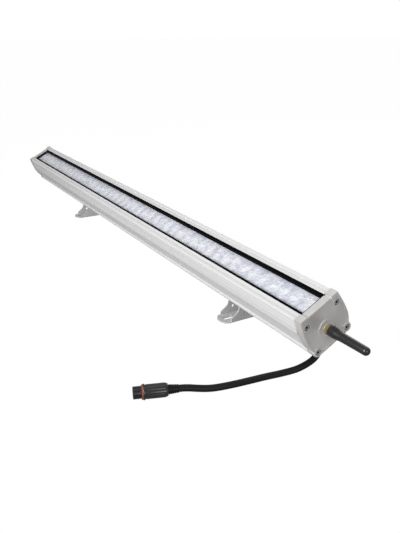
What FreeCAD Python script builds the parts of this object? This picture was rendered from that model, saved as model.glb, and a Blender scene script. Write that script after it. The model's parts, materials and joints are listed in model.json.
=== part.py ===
import FreeCAD, Part
import math
import os

import Sketcher

# Outdoor wall washer light: a metre-long extruded housing with lenses under glass, end caps,
# a stub antenna, a power cable and two sheet-metal brackets that slide and tilt.
# Frame: +X along the lamp towards the antenna end, +Z up, origin on the floor below the middle.

V = FreeCAD.Vector

SIZES = [
    ("lamp_length", 1000, "over both end caps"),
    ("antenna_reach", 60, "antenna tip beyond the cap face"),
    ("lamp_tilt", 28, "degrees about the pivot axis at rest"),
    ("pivot_height", 40.5, "pivot axis above the floor"),
    ("pivot_drop", 12.5, "pivot axis below the housing underside"),
    # housing section, levels above the underside and half widths
    ("rim_top", 55.3, "top of the rims"),
    ("top_half", 27.3, "half width at the rims"),
    ("waist_half", 30.4, "half width at the waist"),
    ("waist_level", 36.5, "level of the waist"),
    ("foot_half", 26.5, "half width at the foot of the lower flank"),
    ("foot_level", 10.6, "level of the foot of the lower flank"),
    ("corner_radius", 5.8, "round lower corner, about the lower screw port"),
    ("corner_angle", 38, "degrees up to which the corner is round"),
    ("port_across", 22.2, "screw ports from the middle plane"),
    ("port_high", 45.2, "level of the upper screw ports"),
    ("port_radius", 1.75, "screw port bore radius"),
    ("rim_round", 0.9, "outer rim corner radius"),
    ("trough_half", 17.6, "half width between the rims"),
    ("groove_across", 22.4, "rim groove from the middle plane"),
    ("groove_width", 1.2, "rim groove width"),
    ("groove_depth", 0.6, "rim groove depth"),
    ("ledge_level", 48.6, "ledge that carries glass and gasket"),
    ("ledge_half", 13.4, "half width below the ledge"),
    ("shelf_level", 34, "shelf that carries the circuit boards"),
    ("shelf_web", 2.5, "thickness of the shelf"),
    ("flank_wall", 2.2, "wall behind the flanks"),
    ("rib_room", 7, "height of the hollow beside the boards"),
    ("floor_level", 8.6, "inner floor of the driver room"),
    ("floor_half", 17.5, "half width of the flat inner floor"),
    ("port_wall", 3, "metal kept round the lower ports"),
    ("port_slope", 2, "rise of the room's side next to the flank"),
    ("slot_half", 3.3, "half width of the slider slot mouth"),
    ("slot_lip", 2, "thickness of the slot lips"),
    ("slot_room_half", 5.6, "half width of the slot room"),
    ("slot_room", 4.6, "height of the slot room"),
    # end caps
    ("cap_thick", 10, "end cap thickness"),
    ("cap_gasket_thick", 1, "cap gasket thickness"),
    ("cap_top", 57, "top of the cap's side tabs"),
    ("cap_draw", 3.3, "how far the cap's top stands in from its waist"),
    ("cap_waist_level", 26, "level of the cap's waist"),
    ("cap_lip", 0.2, "how far the cap stands past the housing at its corners"),
    ("tab_inner", 17.9, "inner edge of the tabs"),
    ("bar_half", 16, "half width of the bar between the tabs"),
    ("bar_top", 55.4, "top of that bar"),
    ("notch_depth", 1, "notch beside the bar, below its top"),
    ("cap_rim", 2.8, "rim round the recessed face"),
    ("recess_depth", 1, "face recess"),
    ("lug_radius", 5.4, "screw lugs on the face"),
    ("jack_level", 22.7, "antenna axis above the underside"),
    ("boss_radius", 13, "round boss on the face"),
    ("boss_groove_radius", 10.6, "ring groove in the boss"),
    ("boss_groove_width", 1, "ring groove width"),
    ("boss_groove_depth", 0.5, "ring groove depth"),
    ("cap_edge", 0.8, "bevelled outer edge of the caps"),
    # cap screws
    ("cap_screw_radius", 1.7, "cap screw shank radius"),
    ("cap_screw_reach", 12, "shank length in the housing"),
    ("cap_screw_head", 3.4, "cap screw head radius"),
    ("cap_screw_head_high", 3.2, "cap screw head height"),
    ("cap_screw_socket", 3, "hex socket across flats"),
    ("cap_screw_socket_deep", 1.8, "hex socket depth"),
    ("head_sink", 0.4, "screw head below the lug's face"),
    ("head_room", 0.3, "radial room round a screw head"),
    ("shank_room", 0.25, "radial room round a shank in a plain hole"),
    # glass, gasket, lenses and boards
    ("glass_thick", 3, "cover glass thickness"),
    ("gasket_skin", 1.2, "gasket under and beside the glass"),
    ("gasket_lip", 0.6, "gasket lip over the glass"),
    ("gasket_border", 3.9, "width of the lip over the glass"),
    ("gasket_end", 2, "gasket strip at each end of the glass"),
    ("gasket_rise", 0.3, "gasket wall below the rim top"),
    ("gasket_wall", 0.7, "gasket wall up the rim"),
    ("seat_gap", 0.05, "clearance of a piece laid in its seat"),
    ("lens_bars", 4, "lens bars along the lamp"),
    ("lenses_per_bar", 12, "lenses on a bar"),
    ("lens_top_radius", 9.7, "lens radius under the plate"),
    ("lens_foot_radius", 4, "lens radius at the light source"),
    ("lens_plate", 1, "lens bar plate thickness"),
    ("lens_plate_half", 14.1, "lens bar plate half width"),
    ("lens_room", 0.3, "room between the lens bars and the gasket"),
    ("lens_dish", 0.6, "depth of the dish in a lens top"),
    ("lens_dish_radius", 9.1, "radius of the dish"),
    ("post_radius", 1.1, "lens bar post radius"),
    ("post_across", 11.2, "posts from the middle plane"),
    ("bar_gap", 0.3, "gap between bars and between boards"),
    ("board_thick", 1.6, "circuit board thickness"),
    ("led_side", 3.5, "light source side"),
    ("led_high", 0.8, "light source height"),
    ("source_gap", 0.3, "lens foot above the light source"),
    ("board_screw_radius", 1.45, "board screw shank radius"),
    ("board_screw_head", 2.7, "board screw head radius"),
    ("board_screw_head_high", 1.6, "board screw head height"),
    ("board_screw_reach", 4, "shank below the board"),
    # driver room
    ("driver_start", 82, "driver case from the near cap face"),
    ("driver_length", 230, "driver case length"),
    ("driver_half", 14, "driver case half width"),
    ("driver_high", 17, "driver case height"),
    ("driver_round", 1.5, "driver case edge radius"),
    ("driver_ear", 9, "driver case ear length"),
    ("driver_ear_thick", 1.6, "driver case ear thickness"),
    ("driver_screw_across", 9, "driver screws from the middle plane"),
    ("driver_screw_radius", 1.45, "driver screw shank radius"),
    ("driver_screw_head", 2.7, "driver screw head radius"),
    ("driver_screw_head_high", 1.8, "driver screw head height"),
    ("driver_screw_reach", 6, "driver screw length below the ear"),
    ("receiver_start", 26, "receiver board from the near cap face"),
    ("receiver_length", 40, "receiver board length"),
    ("receiver_left", 16, "receiver board edge on the -Y side"),
    ("receiver_right", 6, "receiver board edge on the +Y side"),
    ("standoff_high", 4, "standoff height"),
    ("standoff_radius", 2, "standoff radius"),
    ("standoff_inset", 3, "standoff from the board's edges"),
    ("shield_length", 18, "receiver shield can length"),
    ("shield_width", 14, "receiver shield can width"),
    ("shield_high", 2.6, "receiver shield can height"),
    # antenna
    ("jack_radius", 3.1, "jack thread radius"),
    ("jack_reach", 9.5, "jack thread beyond the cap face"),
    ("jack_cavity_radius", 2.35, "jack socket radius"),
    ("jack_cavity_depth", 5.5, "jack socket depth"),
    ("contact_radius", 1, "centre contact radius"),
    ("contact_bore", 0.6, "centre contact bore radius"),
    ("contact_reach", 3.5, "centre contact above the socket floor"),
    ("jack_flange", 8, "inner hexagon across flats"),
    ("jack_flange_thick", 3, "inner hexagon thickness"),
    ("jack_tail", 5, "jack tail length behind the hexagon"),
    ("jack_tail_radius", 2, "jack tail radius"),
    ("washer_radius", 6.5, "jack washer radius"),
    ("washer_thick", 0.8, "jack washer thickness"),
    ("jack_nut", 11, "jack nut across flats"),
    ("jack_nut_thick", 2, "jack nut thickness"),
    ("thread_fit", 0.06, "radial clearance on a thread"),
    ("ring_radius", 5, "coupling ring radius"),
    ("ring_start", 2.95, "coupling ring's rear from the cap face"),
    ("ring_end", 11.3, "coupling ring's front from the cap face"),
    ("ring_web", 1.3, "coupling ring front wall"),
    ("skirt_start", 4.2, "antenna sleeve's rear from the cap face"),
    ("skirt_radius", 6.3, "antenna sleeve radius at the skirt"),
    ("skirt_end", 13, "where the sleeve starts to narrow"),
    ("taper_end", 21, "where the sleeve becomes the rod"),
    ("rod_radius", 5.2, "rod radius at the taper"),
    ("rod_tip_radius", 4.75, "rod radius at the tip"),
    ("rod_tip_round", 4.3, "rounding of the rod's tip"),
    ("ring_room", 0.25, "room between ring and sleeve"),
    ("core_radius", 1.8, "antenna core radius"),
    ("core_end", 52, "antenna core's end from the cap face"),
    ("pin_radius", 0.5, "centre pin radius"),
    ("pin_start", 5.2, "centre pin's end from the cap face"),
    ("coax_radius", 0.9, "coax pigtail radius"),
    ("coax_run", 5, "coax pigtail's straight run behind the jack"),
    ("coax_drop", 6, "coax pigtail's upright run onto the board"),
    # gland and cable
    ("gland_back", 35, "gland axis from the near cap face"),
    ("gland_across", 12.8, "gland axis from the middle plane"),
    ("gland_thread", 6.3, "gland thread radius"),
    ("gland_flats", 16, "gland body across flats"),
    ("gland_collar", 4, "gland body height below the housing"),
    ("gland_nut_flats", 15, "gland nut across flats"),
    ("gland_nut_grip", 4.2, "gland nut's hexagon height"),
    ("gland_nut_dome", 2.8, "gland nut's dome height"),
    ("gland_nut_mouth", 5.4, "gland nut's radius at its mouth"),
    ("gland_nut_spigot", 1.6, "gland nut's spigot in the body"),
    ("seal_radius", 5.3, "gland seal radius"),
    ("seal_length", 4, "gland seal length"),
    ("seal_floor", 2, "gland seal seat above the underside"),
    ("cable_radius", 4, "power cable radius"),
    ("cable_fit", 0.06, "radial clearance on the cable"),
    ("cable_tail_end", 12, "sheath end above the underside"),
    ("cable_first_run", 7, "straight run of the cable out of the gland"),
    ("lead_radius", 0.8, "supply lead radius"),
    ("lead_pitch", 1.7, "supply leads side by side in the sheath"),
    ("lead_level", 9.5, "middle lead above the driver room's floor"),
    ("lead_step", 2.2, "height from lead to lead"),
    ("lead_shift", 5, "leads' swing towards the middle"),
    ("lead_run", 14, "leads' straight run in front of the driver"),
    ("connector_radius", 8, "cable connector body radius"),
    ("connector_body", 27, "cable connector body length"),
    ("connector_tail", 12, "cable connector strain relief length"),
    ("connector_tail_radius", 5.7, "strain relief radius"),
    ("connector_tail_lip", 0.5, "strain relief's wall at its thin end"),
    ("connector_bevel", 1, "bevel at the connector body's rear"),
    ("connector_seal_wide", 1.6, "seal ring's length with its gap"),
    ("connector_seal_thick", 1.2, "seal ring's wall"),
    ("connector_thread", 11, "cable connector thread length"),
    ("connector_thread_radius", 7, "cable connector thread radius"),
    ("connector_socket_radius", 5.4, "connector socket radius"),
    ("connector_socket_deep", 9, "connector socket depth"),
    ("connector_flange", 8.8, "connector flange radius"),
    ("connector_flange_thick", 2, "connector flange thickness"),
    ("contact_pin_radius", 0.6, "connector pin radius"),
    ("contact_pin_ring", 2.6, "connector pins from the axis"),
    ("contact_pin_length", 8, "connector pin length"),
    # brackets and sliders
    ("near_bracket_back", 197.5, "near bracket from the near cap face"),
    ("far_bracket_back", 775, "far bracket from the near cap face"),
    ("sheet_thick", 2, "bracket sheet thickness"),
    ("bracket_width", 29, "bracket outer width"),
    ("base_half", 31, "half length of the bracket base"),
    ("base_end_radius", 17, "radius of the base's ends"),
    ("slot_across", 17, "fixing slots from the pivot plane"),
    ("slot_length", 15, "fixing slot length"),
    ("slot_width", 6.5, "fixing slot width"),
    ("cheek_foot_half", 20, "cheek half width at the base"),
    ("cheek_shoulder", 6, "height of the cheek's upright edge"),
    ("cheek_slope_half", 12.4, "half width where the slope ends"),
    ("cheek_slope_level", 11.4, "height where the slope ends"),
    ("cheek_neck_level", 22.5, "height where the neck starts"),
    ("cheek_curve", 13, "radius of the curve into the neck"),
    ("ear_radius", 7.2, "cheek ear radius"),
    ("tie_hole_radius", 2.2, "tie hole radius"),
    ("tie_hole_level", 11.2, "tie hole height"),
    ("fold_outside", 2.4, "outer fold radius"),
    ("fold_inside", 0.8, "inner fold radius"),
    ("bolt_radius", 3, "pivot bolt radius"),
    ("bolt_fit", 0.08, "radial clearance on the pivot bolt"),
    ("bolt_head_flats", 10, "pivot bolt head and nut across flats"),
    ("bolt_head_high", 4, "pivot bolt head height"),
    ("bolt_nut_high", 5, "pivot nut height"),
    ("bolt_end", 1.5, "bolt end beyond the nut"),
    ("bolt_washer_radius", 6, "pivot washer radius"),
    ("bolt_washer_thick", 1, "pivot washer thickness"),
    ("cheek_room", 0.3, "slider from each cheek"),
    ("slide_fit", 0.1, "clearance of the slider in its slot"),
    ("lug_half", 6.8, "slider lug half width"),
    ("clamp_radius", 1.5, "clamp screw radius"),
    ("clamp_across", 4.9, "clamp screws from the middle plane"),
    ("clamp_along", 7.5, "clamp screws from the slider's middle"),
    ("clamp_length", 9, "clamp screw length"),
    ("clamp_socket", 1.5, "clamp screw socket across flats"),
    ("clamp_socket_deep", 2, "clamp screw socket depth"),
]

# Free run of the power cable after its straight exit, chosen by hand: X, Y, Z of the route's corners.
CABLE_ROUTE = [
    (434.0, 25.0, 31.5),
    (432.5, 21.5, 22.0),
    (434.0, 15.0, 15.0),
    (435.3, 7.0, 11.8),
    (435.2, -2.5, 9.0),
    (434.0, -12.5, 6.4),
    (431.4, -22.5, 4.8),
    (428.6, -36.0, 4.0),
    (425.8, -52.0, 4.0),
    (423.3, -74.0, 4.0),
    (420.2, -96.0, 4.0),
    (415.7, -117.2, 4.0),
    (411.0, -132.0, 6.3),
    (406.6, -144.5, 9.0),
    (403.8, -152.3, 9.0),
]


class Size:
    """A length, an angle or a count: its expression on the sheet and the value this gives."""

    def __init__(self, text, value):
        self.text = text
        self.value = float(value)

    def __add__(self, other):
        return Size(f"({self.text} + {text_of(other)})", self.value + value_of(other))

    def __sub__(self, other):
        return Size(f"({self.text} - {text_of(other)})", self.value - value_of(other))

    def __mul__(self, other):
        return Size(f"({self.text} * {text_of(other)})", self.value * value_of(other))

    def __truediv__(self, other):
        return Size(f"({self.text} / {text_of(other)})", self.value / value_of(other))

    def __neg__(self):
        return Size(f"(0 - {self.text})", -self.value)

    def __radd__(self, other):
        return self + other

    def __rmul__(self, other):
        return self * other

    def __rsub__(self, other):
        return -self + other


def text_of(size):
    return size.text if isinstance(size, Size) else repr(float(size))


def value_of(size):
    return size.value if isinstance(size, Size) else float(size)


def sine(angle):
    return Size(f"sin({angle.text} * 1 deg)", math.sin(math.radians(angle.value)))


def cosine(angle):
    return Size(f"cos({angle.text} * 1 deg)", math.cos(math.radians(angle.value)))


def root(size):
    return Size(f"sqrt({size.text})", math.sqrt(size.value))


class Sheet:
    """The driving sizes, each an attribute with the name of its cell's alias."""

    def __init__(self, doc):
        cells = doc.addObject("Spreadsheet::Sheet", "Sizes")
        for row, (alias, number, note) in enumerate(SIZES, start=1):
            cells.set(f"A{row}", note)
            cells.set(f"B{row}", str(number))
            cells.setAlias(f"B{row}", alias)
            setattr(self, alias, Size("Sizes." + alias, number))


DOC = FreeCAD.newDocument("WallWasher")
D = Sheet(DOC)
DOC.recompute()
NODES = []

# Places that several pieces share.
NEAR_FACE = (D.lamp_length - D.antenna_reach) / 2
NEAR_END = -(D.cap_thick + D.cap_gasket_thick)
HOUSING_LENGTH = D.lamp_length - 2 * (D.cap_thick + D.cap_gasket_thick)
FAR_END = NEAR_END - HOUSING_LENGTH
PORT_LOW = D.corner_radius
GLASS_BOTTOM = D.ledge_level + D.gasket_skin
GLASS_TOP = GLASS_BOTTOM + D.glass_thick
LIP_TOP = GLASS_TOP + D.gasket_lip
LENSES = D.lens_bars * D.lenses_per_bar
LENS_PITCH = HOUSING_LENGTH / LENSES
BOARD_TOP = D.shelf_level + D.board_thick
LED_TOP = BOARD_TOP + D.led_high
LENS_PLATE_TOP = D.ledge_level + D.lens_plate
CAP_TOP_HALF = D.top_half + D.cap_lip
CAP_WAIST_HALF = CAP_TOP_HALF + D.cap_draw
CAP_REACH_DOWN = CAP_TOP_HALF * cosine(D.lamp_tilt) + (D.cap_top + D.pivot_drop) * sine(D.lamp_tilt)
PIVOT_ACROSS = (CAP_REACH_DOWN - D.base_half) / 2
BOARDS = 2
BOARD_SCREWS = (3, 12, 21)


# ---------------------------------------------------------------- bodies and sketches

def bind(item, name, size):
    """Ties a property to an expression on the sheet."""
    item.setExpression(name, text_of(size))


def place(item, along, across, up, tilt=None):
    """Puts an item at a point of the frame, tilted about X where a tilt is given."""
    item.Placement = FreeCAD.Placement(V(0, 0, 0), FreeCAD.Rotation(V(1, 0, 0), value_of(tilt or 0)))
    bind(item, "Placement.Base.x", along)
    bind(item, "Placement.Base.y", across)
    bind(item, "Placement.Base.z", up)
    if tilt is not None:
        bind(item, "Placement.Rotation.Angle", tilt * Size("1 deg", 1))


def lamp_point(along, across, level):
    """Frame coordinates of a point of the tilted lamp: from the near face, middle and underside."""
    lean = level + D.pivot_drop
    return (NEAR_FACE + along,
            PIVOT_ACROSS + across * cosine(D.lamp_tilt) - lean * sine(D.lamp_tilt),
            D.pivot_height + across * sine(D.lamp_tilt) + lean * cosine(D.lamp_tilt))


def node(item, label):
    item.Label = label
    NODES.append(item)
    return item


def new_body(label, several=False):
    body = node(DOC.addObject("PartDesign::Body", label), label)
    body.AllowCompound = several
    return body


def lamp_body(label, along=0, several=False):
    """A body drawn in the lamp's own frame, X from the near cap face or from a place along it."""
    body = new_body(label, several)
    place(body, *lamp_point(along, 0, 0), tilt=D.lamp_tilt)
    return body


def origin_part(body, role):
    return next(part for part in body.Origin.OriginFeatures if part.Role == role)


def new_sketch(body, role, lift=0):
    sketch = body.newObject("Sketcher::SketchObject", body.Name + "_sketch")
    sketch.AttachmentSupport = (origin_part(body, role), [""])
    sketch.MapMode = "FlatFace"
    bind(sketch, "AttachmentOffset.Base.z", lift)
    return sketch


def pin(geometry, position, point):
    """Constraints that hold a point at its two coordinates, with the sizes that drive them."""
    ties = []
    for kind, axis, size in (("DistanceX", -2, point[0]), ("DistanceY", -1, point[1])):
        if abs(value_of(size)) < 1e-9:
            ties.append((Sketcher.Constraint("PointOnObject", geometry, position, axis), None))
        else:
            tie = Sketcher.Constraint(kind, -1, 1, geometry, position, value_of(size))
            ties.append((tie, size))
    return ties


def add_ties(sketch, ties):
    numbers = sketch.addConstraint([tie for tie, size in ties])
    for number, (tie, size) in zip(numbers, ties):
        if isinstance(size, Size):
            bind(sketch, f"Constraints[{number}]", size)


def flat(point):
    return V(value_of(point[0]), value_of(point[1]), 0)


def arc_between(start, end, radius, turn):
    """The shorter arc from start to end, anticlockwise where turn is 1 and clockwise where -1."""
    if turn < 0:
        start, end = end, start
    chord = end - start
    rise = math.sqrt(max(radius ** 2 - (chord.Length / 2) ** 2, 0))
    centre = (start + end) * 0.5 + V(-chord.y, chord.x, 0).normalize() * rise
    first = math.atan2(start.y - centre.y, start.x - centre.x)
    last = math.atan2(end.y - centre.y, end.x - centre.x)
    if last < first:
        last += 2 * math.pi
    return Part.ArcOfCircle(Part.Circle(centre, V(0, 0, 1), radius), first, last)


def outline(sketch, corners):
    """A closed outline. A corner is (x, y), or (x, y, radius, turn) where an arc leads on from it."""
    first = sketch.GeometryCount
    shapes = []
    ends = []
    for here, after in zip(corners, corners[1:] + corners[:1]):
        if len(here) == 2:
            shapes.append(Part.LineSegment(flat(here), flat(after)))
            ends.append((1, 2))
        else:
            shapes.append(arc_between(flat(here), flat(after), value_of(here[2]), here[3]))
            ends.append((1, 2) if here[3] > 0 else (2, 1))
    sketch.addGeometry(shapes, False)
    ties = []
    for number, corner in enumerate(corners):
        after = (number + 1) % len(corners)
        joint = (first + number, ends[number][1], first + after, ends[after][0])
        ties.append((Sketcher.Constraint("Coincident", *joint), None))
        ties.extend(pin(first + number, ends[number][0], corner))
        if len(corner) == 4:
            tie = Sketcher.Constraint("Radius", first + number, value_of(corner[2]))
            ties.append((tie, corner[2]))
    add_ties(sketch, ties)


def circle(sketch, across, up, radius):
    centre = flat((across, up))
    number = sketch.addGeometry(Part.Circle(centre, V(0, 0, 1), value_of(radius)), False)
    ties = pin(number, 3, (across, up))
    ties.append((Sketcher.Constraint("Radius", number, value_of(radius)), radius))
    add_ties(sketch, ties)


def mirrored_outline(half):
    """Adds the mirror image of an open outline on the +X side, so that both close."""
    other = []
    for number in range(len(half) - 1, -1, -1):
        across, up = half[number][:2]
        lead = half[number - 1][2:] if number > 0 else ()
        other.append((-across, up) + tuple(lead))
    return half + other


def box_outline(left, right, low, high):
    return [(left, low), (right, low), (right, high), (left, high)]


def hexagon(across, up, flats):
    """A hexagon with two corners in line with X."""
    reach = flats / math.sqrt(3)
    corners = []
    for number in range(6):
        angle = math.radians(60 * number)
        corners.append((across + reach * math.cos(angle), up + reach * math.sin(angle)))
    return corners


def stadium(across, up, length, width):
    """A slot along Y with round ends, each end drawn as two quarter arcs."""
    side = width / 2
    straight = (length - width) / 2
    return [(across + side, up - straight), (across + side, up + straight, side, 1),
            (across, up + length / 2, side, 1), (across - side, up + straight),
            (across - side, up - straight, side, 1), (across, up - length / 2, side, 1)]


def pad(body, sketch, length, back=False):
    feature = body.newObject("PartDesign::Pad", body.Name + "_pad")
    feature.Profile = sketch
    bind(feature, "Length", length)
    feature.Reversed = back
    DOC.recompute()
    return feature


def pocket(body, sketch, length=None, forth=False):
    """Cuts against the sketch's normal, or along it where forth, and right through without a length."""
    before = body.Shape.Volume
    feature = body.newObject("PartDesign::Pocket", body.Name + "_pocket")
    feature.Profile = sketch
    feature.Reversed = forth
    if length is None:
        feature.Type = "ThroughAll"
    else:
        bind(feature, "Length", length)
    DOC.recompute()
    if body.Shape.Volume > before - 1e-3:
        raise ValueError(body.Label + ": a pocket cuts nothing")
    return feature


def revolve(body, corners):
    """Turns an outline of (along, radius) corners about the body's own X axis."""
    sketch = new_sketch(body, "XZ_Plane")
    outline(sketch, corners)
    feature = body.newObject("PartDesign::Revolution", body.Name + "_revolution")
    feature.Profile = sketch
    feature.ReferenceAxis = (origin_part(body, "X_Axis"), [""])
    feature.Angle = 360
    DOC.recompute()
    return feature


def repeat_along(body, features, pitch, count):
    feature = body.newObject("PartDesign::LinearPattern", body.Name + "_pattern")
    feature.Originals = features
    feature.Direction = (origin_part(body, "X_Axis"), [""])
    feature.Reversed = True
    bind(feature, "Length", pitch * (count - 1))
    bind(feature, "Occurrences", count)
    body.Tip = feature
    DOC.recompute()
    return feature


def dress_edges(body, kind, measure, size, chosen):
    """A Fillet or Chamfer on the edges whose middle point passes the test."""
    base = body.Tip
    names = []
    for number, edge in enumerate(base.Shape.Edges, start=1):
        middle = edge.valueAt((edge.FirstParameter + edge.LastParameter) / 2)
        if chosen(edge, middle):
            names.append(f"Edge{number}")
    feature = body.newObject("PartDesign::" + kind, body.Name + "_edges")
    feature.Base = (base, names)
    bind(feature, measure, size)
    DOC.recompute()


def round_edges(body, radius, chosen):
    dress_edges(body, "Fillet", "Radius", radius, chosen)


def bevel_edges(body, size, chosen):
    dress_edges(body, "Chamfer", "Size", size, chosen)


def close_to(number, size):
    return abs(number - value_of(size)) < 0.01


def tube_shape(points, radius, bore=0):
    """A tube along straight runs joined by tangent arcs, with its arcs' radii."""
    edges = []
    radii = []
    here = points[0]
    for before, corner, after in zip(points, points[1:], points[2:]):
        inward = corner - before
        onward = after - corner
        half_turn = inward.getAngle(onward) / 2
        reach = 0.45 * min(inward.Length, onward.Length)
        inward.normalize()
        onward.normalize()
        start = corner - inward * reach
        end = corner + onward * reach
        bend = reach / math.tan(half_turn)
        middle = corner + (onward - inward).normalize() * (bend / math.cos(half_turn) - bend)
        edges.append(Part.LineSegment(here, start).toShape())
        edges.append(Part.Arc(start, middle, end).toShape())
        radii.append(round(bend, 1))
        here = end
    edges.append(Part.LineSegment(here, points[-1]).toShape())
    path = Part.Wire(edges)
    heading = points[1] - points[0]
    profile = Part.Wire(Part.makeCircle(radius, points[0], heading))
    tube = path.makePipeShell([profile], True, False)
    section = math.pi * radius ** 2
    if abs(tube.Volume / (section * path.Length) - 1) > 0.01:
        raise ValueError("a tube's volume isn't its section times its length")
    return tube, radii, path.Length


def feature_of(label, shape):
    item = node(DOC.addObject("Part::Feature", label), label)
    item.Shape = shape
    return item


def world_vector(along, across, level):
    return V(*[value_of(size) for size in lamp_point(along, across, level)])


# ---------------------------------------------------------------- housing

def housing_half():
    """Right-hand half of the section's outside, from the slot mouth up to the board shelf."""
    round_across = D.port_across + D.corner_radius * cosine(D.corner_angle)
    round_level = PORT_LOW + D.corner_radius * sine(D.corner_angle)
    groove_out = D.groove_across + D.groove_width / 2
    groove_in = D.groove_across - D.groove_width / 2
    groove_floor = D.rim_top - D.groove_depth
    return [
        (D.slot_half, D.slot_lip), (D.slot_half, 0),
        (D.port_across, 0, D.corner_radius, 1), (round_across, round_level),
        (D.foot_half, D.foot_level), (D.waist_half, D.waist_level), (D.top_half, D.rim_top),
        (groove_out, D.rim_top), (groove_out, groove_floor),
        (groove_in, groove_floor), (groove_in, D.rim_top),
        (D.trough_half, D.rim_top), (D.trough_half, D.ledge_level),
        (D.ledge_half, D.ledge_level), (D.ledge_half, D.shelf_level),
    ]


def slot_room():
    """Room of the slider slot, from the left lip round to the right one."""
    top = D.slot_lip + D.slot_room
    return [(-D.slot_room_half, D.slot_lip), (-D.slot_room_half, top),
            (D.slot_room_half, top), (D.slot_room_half, D.slot_lip)]


def driver_room():
    """Hollow for the driver, inside the flanks and above the slot and the lower ports."""
    ceiling = D.shelf_level - D.shelf_web
    lean = (D.waist_half - D.foot_half) / (D.waist_level - D.foot_level)
    side = D.foot_half - D.flank_wall
    shoulder = PORT_LOW + D.port_radius + D.port_wall
    slope_end = shoulder + D.port_slope
    right = [(D.floor_half, D.floor_level), (D.port_across, shoulder),
             (side + lean * (slope_end - D.foot_level), slope_end),
             (side + lean * (ceiling - D.foot_level), ceiling)]
    return mirrored_outline(right)


def rib_room():
    """Hollow beside the boards, between the driver room and the upper port."""
    low = D.shelf_level
    high = D.shelf_level + D.rib_room
    inner = D.ledge_half + D.flank_wall
    lean = (D.waist_half - D.top_half) / (D.rim_top - D.waist_level)
    outer = D.waist_half - D.flank_wall
    return [(inner, low), (outer - D.rim_round, low), (outer, D.waist_level),
            (outer - lean * (high - D.waist_level), high), (inner, high)]


def port_centres():
    return [(side, level) for side in (D.port_across, -D.port_across) for level in (PORT_LOW, D.port_high)]


def board_screw_places():
    """Board screws stand midway between two lenses."""
    places = []
    for board in range(BOARDS):
        for gap in BOARD_SCREWS:
            places.append(NEAR_END - LENS_PITCH * (LENSES / BOARDS * board + gap))
    return places


def driver_screw_places():
    front = -(D.driver_start - D.driver_ear / 2)
    rear = -(D.driver_start + D.driver_length + D.driver_ear / 2)
    return [(front, D.driver_screw_across), (front, -D.driver_screw_across),
            (rear, D.driver_screw_across), (rear, -D.driver_screw_across)]


def make_housing():
    body = lamp_body("housing_profile")
    section = new_sketch(body, "YZ_Plane", FAR_END)
    outline(section, mirrored_outline(housing_half()) + slot_room())
    pad(body, section, HOUSING_LENGTH)
    hollows = new_sketch(body, "YZ_Plane", NEAR_END)
    outline(hollows, driver_room())
    outline(hollows, rib_room())
    outline(hollows, [(-corner[0], corner[1]) for corner in rib_room()])
    for across, level in port_centres():
        circle(hollows, across, level, D.port_radius)
    pocket(body, hollows)
    gland = new_sketch(body, "XY_Plane")
    circle(gland, -D.gland_back, D.gland_across, D.gland_thread + D.thread_fit)
    pocket(body, gland, D.floor_level + D.seat_gap, forth=True)
    boards = new_sketch(body, "XY_Plane", D.shelf_level)
    for along in board_screw_places():
        circle(boards, along, 0, D.board_screw_radius + D.thread_fit)
    pocket(body, boards, D.shelf_web)
    driver = new_sketch(body, "XY_Plane", D.floor_level)
    for along, across in driver_screw_places():
        circle(driver, along, across, D.driver_screw_radius + D.thread_fit)
    pocket(body, driver, D.driver_screw_reach)

    def rim_edge(edge, middle):
        return close_to(abs(middle.y), D.top_half) and close_to(middle.z, D.rim_top)

    round_edges(body, D.rim_round, rim_edge)


# ---------------------------------------------------------------- end caps

def cap_half(inset=0):
    """Right-hand half of the cap's barrel outline, drawn in by an inset."""
    waist = CAP_WAIST_HALF - inset
    top_half = CAP_TOP_HALF - inset
    top = D.cap_top - inset
    lug = D.corner_radius + D.cap_lip - inset
    foot = D.port_across + lug * cosine(D.corner_angle)
    foot_level = PORT_LOW + lug * sine(D.corner_angle)
    rise = top - D.cap_waist_level
    fall = D.cap_waist_level - foot_level
    upper = (rise * rise + (waist - top_half) * (waist - top_half)) / (2 * (waist - top_half))
    lower = (fall * fall + (waist - foot) * (waist - foot)) / (2 * (waist - foot))
    return [(D.port_across, PORT_LOW - lug, lug, 1), (foot, foot_level, lower, 1),
            (waist, D.cap_waist_level, upper, 1), (top_half, top)]


def cap_outline():
    notch = D.bar_top - D.notch_depth
    top = [(D.tab_inner, D.cap_top), (D.tab_inner, notch), (D.bar_half, notch), (D.bar_half, D.bar_top)]
    return mirrored_outline(cap_half() + top)


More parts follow.
